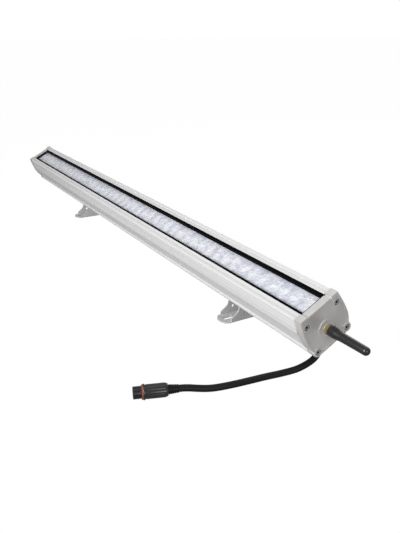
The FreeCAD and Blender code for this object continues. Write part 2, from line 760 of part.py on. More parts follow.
def end_cap(label, face, outward, jack):
    """A cast cap whose outer face lies at a place along the lamp."""
    body = lamp_body(label)
    back = outward > 0
    blank = new_sketch(body, "YZ_Plane", face)
    outline(blank, cap_outline())
    pad(body, blank, D.cap_thick, back=back)

    def outer_edge(edge, middle):
        return close_to(middle.x, face) and (abs(middle.y) > D.tab_inner.value or middle.z < 0)

    bevel_edges(body, D.cap_edge, outer_edge)
    recess = new_sketch(body, "YZ_Plane", face)
    field = cap_half(D.cap_rim)
    field[-1] = (field[-1][0], D.bar_top - D.cap_rim)
    outline(recess, mirrored_outline(field))
    pocket(body, recess, D.recess_depth, forth=not back)
    raised = new_sketch(body, "YZ_Plane", face - outward * D.recess_depth)
    circle(raised, 0, D.jack_level, D.boss_radius)
    for across, level in port_centres():
        circle(raised, across, level, D.lug_radius)
    pad(body, raised, D.recess_depth, back=not back)
    groove = new_sketch(body, "YZ_Plane", face)
    circle(groove, 0, D.jack_level, D.boss_groove_radius)
    circle(groove, 0, D.jack_level, D.boss_groove_radius - D.boss_groove_width)
    pocket(body, groove, D.boss_groove_depth, forth=not back)
    seats = new_sketch(body, "YZ_Plane", face)
    holes = new_sketch(body, "YZ_Plane", face)
    for across, level in port_centres():
        circle(seats, across, level, D.cap_screw_head + D.head_room)
        circle(holes, across, level, D.cap_screw_radius + D.shank_room)
    if jack:
        circle(holes, 0, D.jack_level, D.jack_radius + D.shank_room)
    pocket(body, seats, D.cap_screw_head_high + D.head_sink, forth=not back)
    pocket(body, holes, forth=not back)


def cap_gasket(label, inner, outward):
    """A flat gasket between a cap and the housing, up to the glass lip and cut out over the driver room."""
    body = lamp_body(label)
    sheet = new_sketch(body, "YZ_Plane", inner)
    edge = housing_half()
    rim_inside = edge.index((D.trough_half, D.rim_top))
    outline(sheet, mirrored_outline(edge[:rim_inside + 1] + [(D.trough_half, LIP_TOP)]))
    outline(sheet, driver_room())
    for across, level in port_centres():
        circle(sheet, across, level, D.cap_screw_radius + D.shank_room)
    pad(body, sheet, D.cap_gasket_thick, back=outward > 0)


def cap_screws(label, face, outward):
    """Four socket-head screws through a cap into the housing's ports."""
    body = lamp_body(label, several=True)
    back = outward > 0
    top = face - outward * D.head_sink
    seat = top - outward * D.cap_screw_head_high
    heads = new_sketch(body, "YZ_Plane", top)
    shanks = new_sketch(body, "YZ_Plane", seat)
    sockets = new_sketch(body, "YZ_Plane", top)
    for across, level in port_centres():
        circle(heads, across, level, D.cap_screw_head)
        circle(shanks, across, level, D.cap_screw_radius)
        outline(sockets, hexagon(across, level, D.cap_screw_socket))
    pad(body, heads, D.cap_screw_head_high, back=back)
    reach = D.cap_thick - D.cap_screw_head_high - D.head_sink + D.cap_gasket_thick + D.cap_screw_reach
    pad(body, shanks, reach, back=back)
    pocket(body, sockets, D.cap_screw_socket_deep, forth=not back)


# ---------------------------------------------------------------- glass, lenses and boards

def make_glass():
    body = lamp_body("glass_cover")
    inset = D.gasket_skin + D.seat_gap
    half = D.trough_half - D.seat_gap - inset
    sheet = new_sketch(body, "XY_Plane", GLASS_BOTTOM)
    outline(sheet, box_outline(FAR_END + inset, NEAR_END - inset, -half, half))
    pad(body, sheet, D.glass_thick)


def make_glass_gasket():
    """A frame of U section round the glass, with a wall up each rim and open ends over the lip."""
    body = lamp_body("glass_gasket")
    half = D.trough_half - D.seat_gap
    high = D.rim_top - D.gasket_rise
    frame = new_sketch(body, "XY_Plane", D.ledge_level)
    outline(frame, box_outline(FAR_END, NEAR_END, -half, half))
    pad(body, frame, high - D.ledge_level)
    border = half - D.gasket_border
    for level, depth, side, ends in (
            (high, high - LIP_TOP, half - D.gasket_wall, 0),
            (LIP_TOP, D.gasket_lip, border, D.gasket_end),
            (GLASS_TOP, D.glass_thick, half - D.gasket_skin, D.gasket_skin),
            (GLASS_BOTTOM, D.gasket_skin, D.lens_plate_half + D.lens_room, D.gasket_end)):
        opening = new_sketch(body, "XY_Plane", level)
        outline(opening, box_outline(FAR_END + ends, NEAR_END - ends, -side, side))
        pocket(body, opening, depth)


def lens_bar(number):
    """A moulded bar of lenses with posts that stand on the board."""
    start = NEAR_END - LENS_PITCH * D.lenses_per_bar * number
    length = LENS_PITCH * D.lenses_per_bar
    body = lamp_body(f"lens_bar_{number + 1}", along=start)
    top = LENS_PLATE_TOP
    plate = new_sketch(body, "XY_Plane", top - D.lens_plate)
    end_room = D.gasket_end + D.lens_room
    near_room = D.bar_gap / 2 if number else end_room
    far_room = end_room if number == D.lens_bars.value - 1 else D.bar_gap / 2
    outline(plate, box_outline(far_room - length, -near_room, -D.lens_plate_half, D.lens_plate_half))
    pad(body, plate, D.lens_plate)
    foot = LED_TOP + D.source_gap
    cone = new_sketch(body, "XZ_Plane")
    axis = -LENS_PITCH / 2
    outline(cone, [(axis, foot), (axis + D.lens_foot_radius, foot),
                   (axis + D.lens_top_radius, top - D.lens_plate), (axis, top - D.lens_plate)])
    lens = body.newObject("PartDesign::Revolution", body.Name + "_lens")
    lens.Profile = cone
    upright = cone.addGeometry(Part.LineSegment(flat((axis, 0)), flat((axis, foot))), True)
    add_ties(cone, pin(upright, 1, (axis, 0)) + pin(upright, 2, (axis, foot)))
    lens.ReferenceAxis = (cone, ["Axis0"])
    lens.Angle = 360
    DOC.recompute()
    dish = new_sketch(body, "XY_Plane", top)
    circle(dish, axis, 0, D.lens_dish_radius)
    hollow = pocket(body, dish, D.lens_dish)
    repeat_along(body, [lens, hollow], LENS_PITCH, D.lenses_per_bar)
    posts = new_sketch(body, "XY_Plane", BOARD_TOP)
    for gap in (1, D.lenses_per_bar / 2, D.lenses_per_bar - 1):
        for across in (D.post_across, -D.post_across):
            circle(posts, -LENS_PITCH * gap, across, D.post_radius)
    pad(body, posts, top - D.lens_plate / 2 - BOARD_TOP)


def led_board(number):
    length = HOUSING_LENGTH / BOARDS
    start = NEAR_END - length * number
    body = lamp_body(f"led_board_{number + 1}")
    board = new_sketch(body, "XY_Plane", D.shelf_level)
    half = D.ledge_half - D.seat_gap
    outline(board, box_outline(start - length + D.bar_gap / 2, start - D.bar_gap / 2, -half, half))
    places = board_screw_places()
    for along in places[len(BOARD_SCREWS) * number:len(BOARD_SCREWS) * (number + 1)]:
        circle(board, along, 0, D.board_screw_radius + D.shank_room)
    pad(body, board, D.board_thick)


def leds(number):
    """The light sources of one board, a row of square packages."""
    per_board = LENSES / BOARDS
    start = NEAR_END - LENS_PITCH * per_board * number
    body = lamp_body(f"leds_{number + 1}", along=start, several=True)
    package = new_sketch(body, "XY_Plane", BOARD_TOP)
    half = D.led_side / 2
    middle = -LENS_PITCH / 2
    outline(package, box_outline(middle - half, middle + half, -half, half))
    repeat_along(body, [pad(body, package, D.led_high)], LENS_PITCH, per_board)


def make_board_screws():
    body = lamp_body("board_screws", several=True)
    heads = new_sketch(body, "XY_Plane", BOARD_TOP)
    shanks = new_sketch(body, "XY_Plane", BOARD_TOP)
    for along in board_screw_places():
        circle(heads, along, 0, D.board_screw_head)
        circle(shanks, along, 0, D.board_screw_radius)
    pad(body, heads, D.board_screw_head_high)
    pad(body, shanks, D.board_thick + D.board_screw_reach, back=True)


# ---------------------------------------------------------------- driver room

def make_driver():
    body = lamp_body("power_driver")
    near = -D.driver_start
    far = near - D.driver_length
    ears = new_sketch(body, "XY_Plane", D.floor_level)
    outline(ears, box_outline(far - D.driver_ear, near + D.driver_ear, -D.driver_half, D.driver_half))
    for along, across in driver_screw_places():
        circle(ears, along, across, D.driver_screw_radius + D.shank_room)
    pad(body, ears, D.driver_ear_thick)
    case = new_sketch(body, "XY_Plane", D.floor_level)
    outline(case, box_outline(far, near, -D.driver_half, D.driver_half))
    pad(body, case, D.driver_high)
    top = D.floor_level + D.driver_high
    round_edges(body, D.driver_round, lambda edge, middle: close_to(middle.z, top))


def make_driver_screws():
    body = lamp_body("driver_screws", several=True)
    seat = D.floor_level + D.driver_ear_thick
    heads = new_sketch(body, "XY_Plane", seat)
    shanks = new_sketch(body, "XY_Plane", seat)
    for along, across in driver_screw_places():
        circle(heads, along, across, D.driver_screw_head)
        circle(shanks, along, across, D.driver_screw_radius)
    pad(body, heads, D.driver_screw_head_high)
    pad(body, shanks, D.driver_screw_reach, back=True)


def make_receiver():
    """The receiver board with its shield can, on four standoffs."""
    body = lamp_body("receiver_board")
    near = -D.receiver_start
    far = near - D.receiver_length
    feet = new_sketch(body, "XY_Plane", D.floor_level)
    for along in (near - D.standoff_inset, far + D.standoff_inset):
        for across in (D.receiver_right - D.standoff_inset, D.standoff_inset - D.receiver_left):
            circle(feet, along, across, D.standoff_radius)
    board = new_sketch(body, "XY_Plane", D.floor_level + D.standoff_high)
    outline(board, box_outline(far, near, -D.receiver_left, D.receiver_right))
    pad(body, board, D.board_thick)
    pad(body, feet, D.standoff_high + D.board_thick / 2)
    can = new_sketch(body, "XY_Plane", D.floor_level + D.standoff_high + D.board_thick)
    middle = (D.receiver_right - D.receiver_left) / 2
    outline(can, box_outline(far + D.standoff_inset * 2, far + D.standoff_inset * 2 + D.shield_length,
                             middle - D.shield_width / 2, middle + D.shield_width / 2))
    pad(body, can, D.shield_high)


def make_coax_pigtail():
    """A thin coax from the jack's tail down onto the receiver board."""
    rear = NEAR_END + D.cap_gasket_thick - D.jack_flange_thick - D.jack_tail
    board = D.floor_level + D.standoff_high + D.board_thick
    land = -(D.receiver_start + D.standoff_inset * 3)
    middle = (D.receiver_right - D.receiver_left) / 2
    points = [world_vector(rear, 0, D.jack_level),
              world_vector(rear - D.coax_run, 0, D.jack_level),
              world_vector(land, middle, board + D.coax_drop),
              world_vector(land, middle, board)]
    feature_of("coax_pigtail", tube_shape(points, value_of(D.coax_radius))[0])


def make_supply_leads():
    """Three cores from the end of the cable's sheath to the driver."""
    start = D.cable_tail_end
    leads = []
    for core in (-1, 0, 1):
        across = D.gland_across + core * D.lead_pitch
        level = D.floor_level + D.lead_level + core * D.lead_step
        there = across - D.lead_shift
        points = [world_vector(-D.gland_back, across, start),
                  world_vector(-D.gland_back, across, level),
                  world_vector(D.lead_run - D.driver_start, there, level),
                  world_vector(-D.driver_start, there, level)]
        leads.append(tube_shape(points, value_of(D.lead_radius))[0])
    feature_of("supply_leads", Part.makeCompound(leads))


# ---------------------------------------------------------------- antenna

def axis_body(label, several=False):
    """A body turned about the antenna's axis, X from the near cap face."""
    body = new_body(label, several)
    place(body, *lamp_point(0, 0, D.jack_level), tilt=D.lamp_tilt)
    return body


def jack_inner():
    return NEAR_END + D.cap_gasket_thick


def make_jack():
    body = axis_body("antenna_jack")
    flange = new_sketch(body, "YZ_Plane", jack_inner())
    outline(flange, hexagon(0, 0, D.jack_flange))
    pad(body, flange, D.jack_flange_thick, back=True)
    inner = jack_inner()
    tail = inner - D.jack_flange_thick - D.jack_tail
    floor = D.jack_reach - D.jack_cavity_depth
    top = floor + D.contact_reach
    revolve(body, [
        (tail, 0), (tail, D.jack_tail_radius), (inner - 1, D.jack_tail_radius),
        (inner - 1, D.jack_radius), (D.jack_reach, D.jack_radius),
        (D.jack_reach, D.jack_cavity_radius), (floor, D.jack_cavity_radius),
        (floor, D.contact_radius), (top, D.contact_radius), (top, D.contact_bore),
        (floor, D.contact_bore), (floor, 0)])


def make_jack_washer():
    body = axis_body("antenna_jack_washer")
    ring = new_sketch(body, "YZ_Plane")
    circle(ring, 0, 0, D.washer_radius)
    circle(ring, 0, 0, D.jack_radius + D.shank_room)
    pad(body, ring, D.washer_thick)


def make_jack_nut():
    body = axis_body("antenna_jack_nut")
    ring = new_sketch(body, "YZ_Plane", D.washer_thick)
    outline(ring, hexagon(0, 0, D.jack_nut))
    circle(ring, 0, 0, D.jack_radius + D.thread_fit)
    pad(body, ring, D.jack_nut_thick)


def make_coupling_ring():
    """A knurled ring that screws onto the jack and holds the antenna's core."""
    body = axis_body("coupling_ring")
    web = D.ring_end - D.ring_web
    bore = D.jack_radius + D.thread_fit
    revolve(body, [(D.ring_start, bore), (web, bore), (web, D.core_radius + D.ring_room),
                   (D.ring_end, D.core_radius + D.ring_room), (D.ring_end, D.ring_radius),
                   (D.ring_start, D.ring_radius)])


def make_antenna():
    sleeve = axis_body("antenna_sleeve")
    room = D.ring_radius + D.ring_room
    room_end = D.ring_end + D.ring_room
    bore = D.core_radius + D.seat_gap
    tip = D.antenna_reach
    revolve(sleeve, [
        (D.skirt_start, room), (room_end, room), (room_end, bore), (D.core_end + D.seat_gap, bore),
        (D.core_end + D.seat_gap, 0), (tip, 0), (tip, D.rod_tip_radius - D.rod_tip_round, D.rod_tip_round, 1),
        (tip - D.rod_tip_round, D.rod_tip_radius), (D.taper_end, D.rod_radius),
        (D.skirt_end, D.skirt_radius), (D.skirt_start, D.skirt_radius)])
    core = axis_body("antenna_core")
    shoulder = D.ring_end - D.ring_web - D.ring_room
    flange = D.jack_radius - D.ring_room
    revolve(core, [
        (D.pin_start, 0), (D.core_end, 0), (D.core_end, D.core_radius), (shoulder, D.core_radius),
        (shoulder, flange), (D.jack_reach + D.seat_gap, flange),
        (D.jack_reach + D.seat_gap, D.pin_radius), (D.pin_start, D.pin_radius)])


# ---------------------------------------------------------------- gland and cable

def gland_body_on(label):
    """A body about the gland's axis, Z up from the housing's underside."""
    body = new_body(label)
    place(body, *lamp_point(-D.gland_back, D.gland_across, 0), tilt=D.lamp_tilt)
    return body


def gland_mouth():
    return -(D.gland_collar + D.gland_nut_grip + D.gland_nut_dome)


def make_gland():
    body = gland_body_on("gland_body")
    collar = new_sketch(body, "XY_Plane", -D.gland_collar)
    outline(collar, hexagon(0, 0, D.gland_flats))
    pad(body, collar, D.gland_collar)
    thread = new_sketch(body, "XY_Plane")
    circle(thread, 0, 0, D.gland_thread)
    pad(body, thread, D.floor_level)
    bore = new_sketch(body, "XY_Plane", D.floor_level)
    circle(bore, 0, 0, D.cable_radius + D.cable_fit)
    pocket(body, bore)
    seat = new_sketch(body, "XY_Plane", -D.gland_collar)
    circle(seat, 0, 0, D.seal_radius + D.seat_gap)
    pocket(body, seat, D.gland_collar + D.seal_floor, forth=True)

    seal = gland_body_on("gland_seal")
    ring = new_sketch(seal, "XY_Plane", D.seal_floor - D.seal_length)
    circle(ring, 0, 0, D.seal_radius)
    circle(ring, 0, 0, D.cable_radius + D.cable_fit)
    pad(seal, ring, D.seal_length)

    nut = gland_body_on("gland_nut")
    grip = new_sketch(nut, "XY_Plane", -D.gland_collar - D.gland_nut_grip)
    outline(grip, hexagon(0, 0, D.gland_nut_flats))
    pad(nut, grip, D.gland_nut_grip)
    spigot = new_sketch(nut, "XY_Plane", -D.gland_collar)
    circle(spigot, 0, 0, D.seal_radius - D.seat_gap)
    pad(nut, spigot, D.gland_nut_spigot)
    dome = new_sketch(nut, "XZ_Plane")
    grip_end = -D.gland_collar - D.gland_nut_grip
    outline(dome, [(0, gland_mouth()), (D.gland_nut_mouth, gland_mouth()),
                   (D.gland_nut_flats / 2, grip_end), (0, grip_end)])
    turned = nut.newObject("PartDesign::Revolution", "gland_nut_dome")
    turned.Profile = dome
    turned.ReferenceAxis = (origin_part(nut, "Z_Axis"), [""])
    turned.Angle = 360
    DOC.recompute()
    mouth = new_sketch(nut, "XY_Plane")
    circle(mouth, 0, 0, D.cable_radius + D.cable_fit)
    pocket(nut, mouth)

    tail = gland_body_on("cable_tail")
    sheath = new_sketch(tail, "XY_Plane", gland_mouth())
    circle(sheath, 0, 0, D.cable_radius)
    pad(tail, sheath, D.cable_tail_end - gland_mouth())


def cable_points():
    leaving = [world_vector(-D.gland_back, D.gland_across, gland_mouth()),
               world_vector(-D.gland_back, D.gland_across, gland_mouth() - D.cable_first_run)]
    return leaving + [V(*point) for point in CABLE_ROUTE]


def make_cable():
    shape, radii, length = tube_shape(cable_points(), value_of(D.cable_radius))
    feature_of("power_cable", shape)
    print("cable length", round(length, 1), "arc radii", radii)


def connector_body(label, several=False):
    """A body about the connector's axis: X runs on from the end of the cable."""
    before, end = [V(*point) for point in CABLE_ROUTE[-2:]]
    body = new_body(label, several)
    turn = math.degrees(math.atan2(end.y - before.y, end.x - before.x))
    body.Placement = FreeCAD.Placement(end, FreeCAD.Rotation(V(0, 0, 1), turn))
    return body


def make_connector():
    tail = D.connector_tail
    shell_end = tail + D.connector_body
    mouth = shell_end + D.connector_thread
    floor = mouth - D.connector_socket_deep
    relief = connector_body("connector_relief")
    seat = tail + D.connector_tail_radius
    revolve(relief, [(0, 0), (seat, 0), (seat, D.connector_tail_radius), (tail, D.connector_tail_radius),
                     (0, D.cable_radius + D.connector_tail_lip)])
    shell = connector_body("cable_connector")
    inner = D.connector_tail_radius + D.seat_gap
    flange = shell_end - D.connector_flange_thick
    revolve(shell, [
        (tail, inner), (seat + D.seat_gap, inner), (seat + D.seat_gap, 0), (floor, 0),
        (floor, D.connector_socket_radius), (mouth, D.connector_socket_radius),
        (mouth, D.connector_thread_radius), (shell_end, D.connector_thread_radius),
        (shell_end, D.connector_flange), (flange, D.connector_flange), (flange, D.connector_radius),
        (tail + D.connector_bevel, D.connector_radius), (tail, D.connector_radius - D.connector_bevel)])
    pins = connector_body("connector_pins", several=True)
    root_of_pins = new_sketch(pins, "YZ_Plane", floor)
    for number in range(3):
        angle = math.radians(90 + 120 * number)
        circle(root_of_pins, D.contact_pin_ring * math.cos(angle), D.contact_pin_ring * math.sin(angle),
               D.contact_pin_radius)
    pad(pins, root_of_pins, D.contact_pin_length)
    seal = connector_body("connector_seal_ring")
    bore = D.connector_thread_radius + D.seat_gap
    rim = bore + D.connector_seal_thick
    seal_end = shell_end + D.connector_seal_wide
    revolve(seal, [(shell_end + D.seat_gap, bore), (seal_end, bore), (seal_end, rim),
                   (shell_end + D.seat_gap, rim)])


# ---------------------------------------------------------------- sliders and brackets

def slider(name, back):
    """A lug that hangs in the housing's slot and carries the pivot bolt between the cheeks."""
    body = lamp_body(f"slider_{name}", along=-back)
    half = D.bracket_width / 2 - D.sheet_thick - D.cheek_room
    head_low = D.slot_lip + D.slide_fit
    head_top = D.slot_lip + D.slot_room - D.slide_fit
    neck = D.slot_half - D.slide_fit
    pivot = -D.pivot_drop
    section = new_sketch(body, "YZ_Plane", -half)
    right = [(D.lug_half, pivot), (D.lug_half, -D.slide_fit), (neck, -D.slide_fit), (neck, head_low),
             (D.slot_room_half - D.slide_fit, head_low), (D.slot_room_half - D.slide_fit, head_top)]
    around = [(0, pivot - D.lug_half, D.lug_half, 1)]
    left = mirrored_outline(right)[len(right):]
    left[-1] = left[-1][:2] + (D.lug_half, 1)
    outline(section, around + right + left)
    pad(body, section, 2 * half)
    bore = new_sketch(body, "YZ_Plane", half)
    circle(bore, 0, pivot, D.bolt_radius + D.bolt_fit)
    pocket(body, bore)
    taps = new_sketch(body, "XY_Plane")
    for side in (1, -1):
        circle(taps, side * D.clamp_along, side * D.clamp_across, D.clamp_radius + D.thread_fit)
    pocket(body, taps, D.pivot_drop + D.lug_half)

    screws = lamp_body(f"clamp_screws_{name}", along=-back, several=True)
    shanks = new_sketch(screws, "XY_Plane", -D.seat_gap)
    sockets = new_sketch(screws, "XY_Plane", -D.seat_gap - D.clamp_length)
    for side in (1, -1):
        circle(shanks, side * D.clamp_along, side * D.clamp_across, D.clamp_radius)
        outline(sockets, hexagon(side * D.clamp_along, side * D.clamp_across, D.clamp_socket))
    pad(screws, shanks, D.clamp_length, back=True)
    pocket(screws, sockets, D.clamp_socket_deep, forth=True)


def bracket_base():
    half = D.bracket_width / 2
    side = D.base_half - D.base_end_radius + root(D.base_end_radius * D.base_end_radius - half * half)
    return [(half, -side), (half, side, D.base_end_radius, 1),
            (-half, side), (-half, -side, D.base_end_radius, 1)]


def cheek_outline():
    """A bell-shaped cheek with a round ear about the pivot."""
    right = [(D.cheek_foot_half, 0), (D.cheek_foot_half, D.cheek_shoulder),
             (D.cheek_slope_half, D.cheek_slope_level, D.cheek_curve, -1),
             (D.ear_radius, D.cheek_neck_level), (D.ear_radius, D.pivot_height, D.ear_radius, 1)]
    top = [(0, D.pivot_height + D.ear_radius)]
    left = mirrored_outline(right)[len(right):]
    top[0] = top[0] + (D.ear_radius, 1)
    return right + top + left


def bracket(name, back):
    """A folded sheet bracket: a slotted base and two cheeks."""
    body = new_body(f"bracket_{name}")
    place(body, NEAR_FACE - back, PIVOT_ACROSS, 0)
    base = new_sketch(body, "XY_Plane")
    outline(base, bracket_base())
    pad(body, base, D.sheet_thick)
    inner = D.bracket_width / 2 - D.sheet_thick
    cheeks = []
    for lift, back_side in ((inner, False), (-inner, True)):
        cheek = new_sketch(body, "YZ_Plane", lift)
        outline(cheek, cheek_outline())
        cheeks.append(pad(body, cheek, D.sheet_thick, back=back_side))
    outer = D.bracket_width / 2

    def fold_edge(across, level):
        def chosen(edge, middle):
            return close_to(abs(middle.x), across) and close_to(middle.z, level) and \
                close_to(middle.y, 0) and close_to(edge.tangentAt(edge.FirstParameter).x, 0)
        return chosen

    round_edges(body, D.fold_outside, fold_edge(outer, 0))
    round_edges(body, D.fold_inside, fold_edge(inner, D.sheet_thick))
    slots = new_sketch(body, "XY_Plane", D.sheet_thick)
    for side in (1, -1):
        outline(slots, stadium(0, side * D.slot_across, D.slot_length, D.slot_width))
    pocket(body, slots)
    holes = new_sketch(body, "YZ_Plane", outer)
    circle(holes, 0, D.pivot_height, D.bolt_radius + D.bolt_fit)
    circle(holes, 0, D.tie_hole_level, D.tie_hole_radius)
    pocket(body, holes)


def pivot_body(label, back, several=False):
    body = new_body(label, several)
    place(body, NEAR_FACE - back, PIVOT_ACROSS, D.pivot_height)
    return body


def pivot_hardware(name, back):
    """Bolt, washers and nut on the pivot axis, the head on the +X side."""
    outer = D.bracket_width / 2
    head = outer + D.bolt_washer_thick
    end = head + D.bolt_nut_high + D.bolt_end
    bolt = pivot_body(f"pivot_bolt_{name}", back)
    hexa = new_sketch(bolt, "YZ_Plane", head)
    outline(hexa, hexagon(0, 0, D.bolt_head_flats))
    pad(bolt, hexa, D.bolt_head_high)
    shank = new_sketch(bolt, "YZ_Plane", head)
    circle(shank, 0, 0, D.bolt_radius)
    pad(bolt, shank, head + end, back=True)

    washers = pivot_body(f"pivot_washers_{name}", back, several=True)
    for lift, back_side in ((outer, False), (-outer, True)):
        ring = new_sketch(washers, "YZ_Plane", lift)
        circle(ring, 0, 0, D.bolt_washer_radius)
        circle(ring, 0, 0, D.bolt_radius + D.shank_room)
        pad(washers, ring, D.bolt_washer_thick, back=back_side)

    nut = pivot_body(f"pivot_nut_{name}", back)
    hexa = new_sketch(nut, "YZ_Plane", -head)
    outline(hexa, hexagon(0, 0, D.bolt_head_flats))
    circle(hexa, 0, 0, D.bolt_radius + D.thread_fit)
    pad(nut, hexa, D.bolt_nut_high, back=True)


# ---------------------------------------------------------------- all pieces

def check_and_write():
    DOC.recompute()
    for item in DOC.Objects:
        faults = [state for state in item.State if state in ("Invalid", "Error")]
        if faults:
            raise ValueError(f"{item.Label} is {faults}")
    for item in NODES:
        if item.Shape.isNull() or not item.Shape.isValid() or not item.Shape.Solids:
            raise ValueError(f"{item.Label} has no valid solid")
    os.makedirs("parts", exist_ok=True)
    for item in NODES:
        item.Shape.exportStep(f"parts/{item.Label}.step")
    print(len(NODES), "nodes")


def main():
    far_face = -D.lamp_length
    make_housing()
    for name, face, outward in (("near", Size("0", 0), 1), ("far", far_face, -1)):
        end_cap(f"end_cap_{name}", face, outward, jack=name == "near")
        cap_gasket(f"cap_gasket_{name}", face - outward * D.cap_thick, outward)
        cap_screws(f"cap_screws_{name}", face, outward)
    make_glass()
    make_glass_gasket()
    for number in range(int(D.lens_bars.value)):
        lens_bar(number)
    for number in range(BOARDS):
        led_board(number)
        leds(number)
    make_board_screws()
    make_driver()
    make_driver_screws()
    make_receiver()
    make_coax_pigtail()
    make_supply_leads()
    make_jack()
    make_jack_washer()
    make_jack_nut()
    make_coupling_ring()
    make_antenna()
    make_gland()
    make_cable()
    make_connector()
    for name, back in (("near", D.near_bracket_back), ("far", D.far_bracket_back)):
        slider(name, back)
        bracket(name, back)
        pivot_hardware(name, back)
    check_and_write()


main()
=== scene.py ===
import json
import math

import bmesh
import bpy
from mathutils import Matrix, Vector


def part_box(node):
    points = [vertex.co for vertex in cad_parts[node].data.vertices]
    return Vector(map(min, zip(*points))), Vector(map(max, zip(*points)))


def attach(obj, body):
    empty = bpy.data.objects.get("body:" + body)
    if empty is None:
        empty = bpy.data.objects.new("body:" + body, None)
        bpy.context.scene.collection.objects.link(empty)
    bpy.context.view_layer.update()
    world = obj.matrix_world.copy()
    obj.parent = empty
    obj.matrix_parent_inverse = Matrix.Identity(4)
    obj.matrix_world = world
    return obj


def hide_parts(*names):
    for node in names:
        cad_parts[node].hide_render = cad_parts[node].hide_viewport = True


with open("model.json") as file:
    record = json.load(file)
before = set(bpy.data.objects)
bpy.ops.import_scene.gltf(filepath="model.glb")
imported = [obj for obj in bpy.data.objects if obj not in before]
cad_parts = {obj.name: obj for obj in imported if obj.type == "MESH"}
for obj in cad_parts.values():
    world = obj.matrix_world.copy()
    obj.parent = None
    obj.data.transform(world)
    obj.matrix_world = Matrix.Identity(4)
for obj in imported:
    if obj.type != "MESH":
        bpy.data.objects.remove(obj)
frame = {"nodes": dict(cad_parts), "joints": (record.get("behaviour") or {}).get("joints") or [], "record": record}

bl_info = {
    "name": "Outdoor wall washer light",
    "version": (1, 0, 0),
    "blender": (4, 5, 0),
    "location": "3D View > Sidebar > Wall washer",
    "description": "Dresses the construction model of a long outdoor wall washer light",
    "category": "Object",
}

NODES = frame["nodes"]
JOINTS = {joint["name"]: joint for joint in frame["joints"]}
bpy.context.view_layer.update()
MM = 0.001
# Points of a shape that are nearer than this are one point.
WELD = 1e-6

# The housing's end face, behind the outer face of its cap.
HOUSING_END = 11 * MM
LENS_BARS = 4
# The mouth of the gland nut, from the housing's underside: the cable leaves there.
GLAND_MOUTH = -11 * MM

# The photograph's camera: image and focal length in pixels, sensor in millimetres, place in metres.
IMAGE_WIDTH = 400
FOCAL_PIXELS = 604.7
SENSOR_WIDTH = 36.0
CAMERA_PLACE = (0.9028, -0.4186, 0.3722)
CAMERA_RIGHT = (0.5065, 0.8623, 0.0)
CAMERA_UP = (-0.3137, 0.1843, 0.9315)

# Soft lights: name, place, target, side of the square in metres and power in watts.
SOFT_LIGHTS = (
    ("Key light", (0.45, -1.3, 0.66), (0.2, 0, 0.06), 0.8, 24),
    ("Top light", (0.4, 0.0, 1.6), (0.3, 0, 0.05), 0.9, 2.5),
    ("Side light", (2.0, -0.3, 0.45), (0.47, 0, 0.05), 0.6, 7),
    ("Back light", (-0.3, 1.5, 0.85), (0.0, 0, 0.05), 1.2, 8),
)
# Strength of the even light from all round.
WORLD_LIGHT = 0.17

# Plain white of the backdrop: its strength, and how much of it straight and mirrored rays meet.
WORLD_WHITE = 1.05
WORLD_SHARES = (1, 0.4)
FLOOR_WHITE = 1.058
FLOOR_SHARES = (0.93, 0.15)
FLOOR_SIZE = 30

# The cable's route beyond the gland's mouth: the corners that the construction model has too.
CABLE_CORNERS = [
    (0.4350, 0.0268, 0.0417),
    (0.4340, 0.0250, 0.0315),
    (0.4325, 0.0215, 0.0220),
    (0.4340, 0.0150, 0.0150),
    (0.4353, 0.0070, 0.0118),
    (0.4352, -0.0025, 0.0090),
    (0.4340, -0.0125, 0.0064),
    (0.4314, -0.0225, 0.0048),
    (0.4286, -0.0360, 0.0040),
    (0.4258, -0.0520, 0.0040),
    (0.4233, -0.0740, 0.0040),
    (0.4202, -0.0960, 0.0040),
    (0.4157, -0.1172, 0.0040),
    (0.4110, -0.1320, 0.0063),
    (0.4066, -0.1445, 0.0090),
    (0.4038, -0.1523, 0.0090),
]


# ---------------------------------------------------------------- sizes and colours

def length(name, description, default):
    return bpy.props.FloatProperty(name=name, description=description, default=default,
                                   min=0, unit="LENGTH", precision=5)


def colour(name, description, default):
    return bpy.props.FloatVectorProperty(name=name, description=description, default=default,
                                         size=3, min=0, max=1, subtype="COLOR")


class WasherSizes(bpy.types.PropertyGroup):
    tilt: bpy.props.FloatProperty(name="Lamp tilt", default=math.radians(28), subtype="ANGLE",
                                  description="Lean of the lamp about its brackets")
    pivot_drop: length("Pivot drop", "Pivot axis below the housing's underside", 0.0125)
    jack_level: length("Jack level", "Antenna axis above the housing's underside", 0.0227)
    port_across: length("Port offset", "Screw ports from the middle plane", 0.0222)
    port_low: length("Lower ports", "Lower screw ports above the underside", 0.0058)
    port_high: length("Upper ports", "Upper screw ports above the underside", 0.0452)
    lenses_per_bar: bpy.props.IntProperty(name="Lenses on a bar", default=12, min=1,
                                          description="Lenses on one moulded bar")
    # Place of the painted shade line on each rim.
    rim_line: length("Rim line", "Line on each rim from the middle plane", 0.0219)
    lens_radius: length("Lens radius", "Radius of a lens at its top", 0.0097)
    thread_pitch: length("Thread pitch", "Pitch of the antenna jack's thread", 0.00071)
    cable_width: length("Cable diameter", "Outer diameter of the power cable", 0.008)
    gland_back: length("Gland place", "Gland axis from the near cap's face", 0.035)
    gland_across: length("Gland offset", "Gland axis from the middle plane", 0.0128)


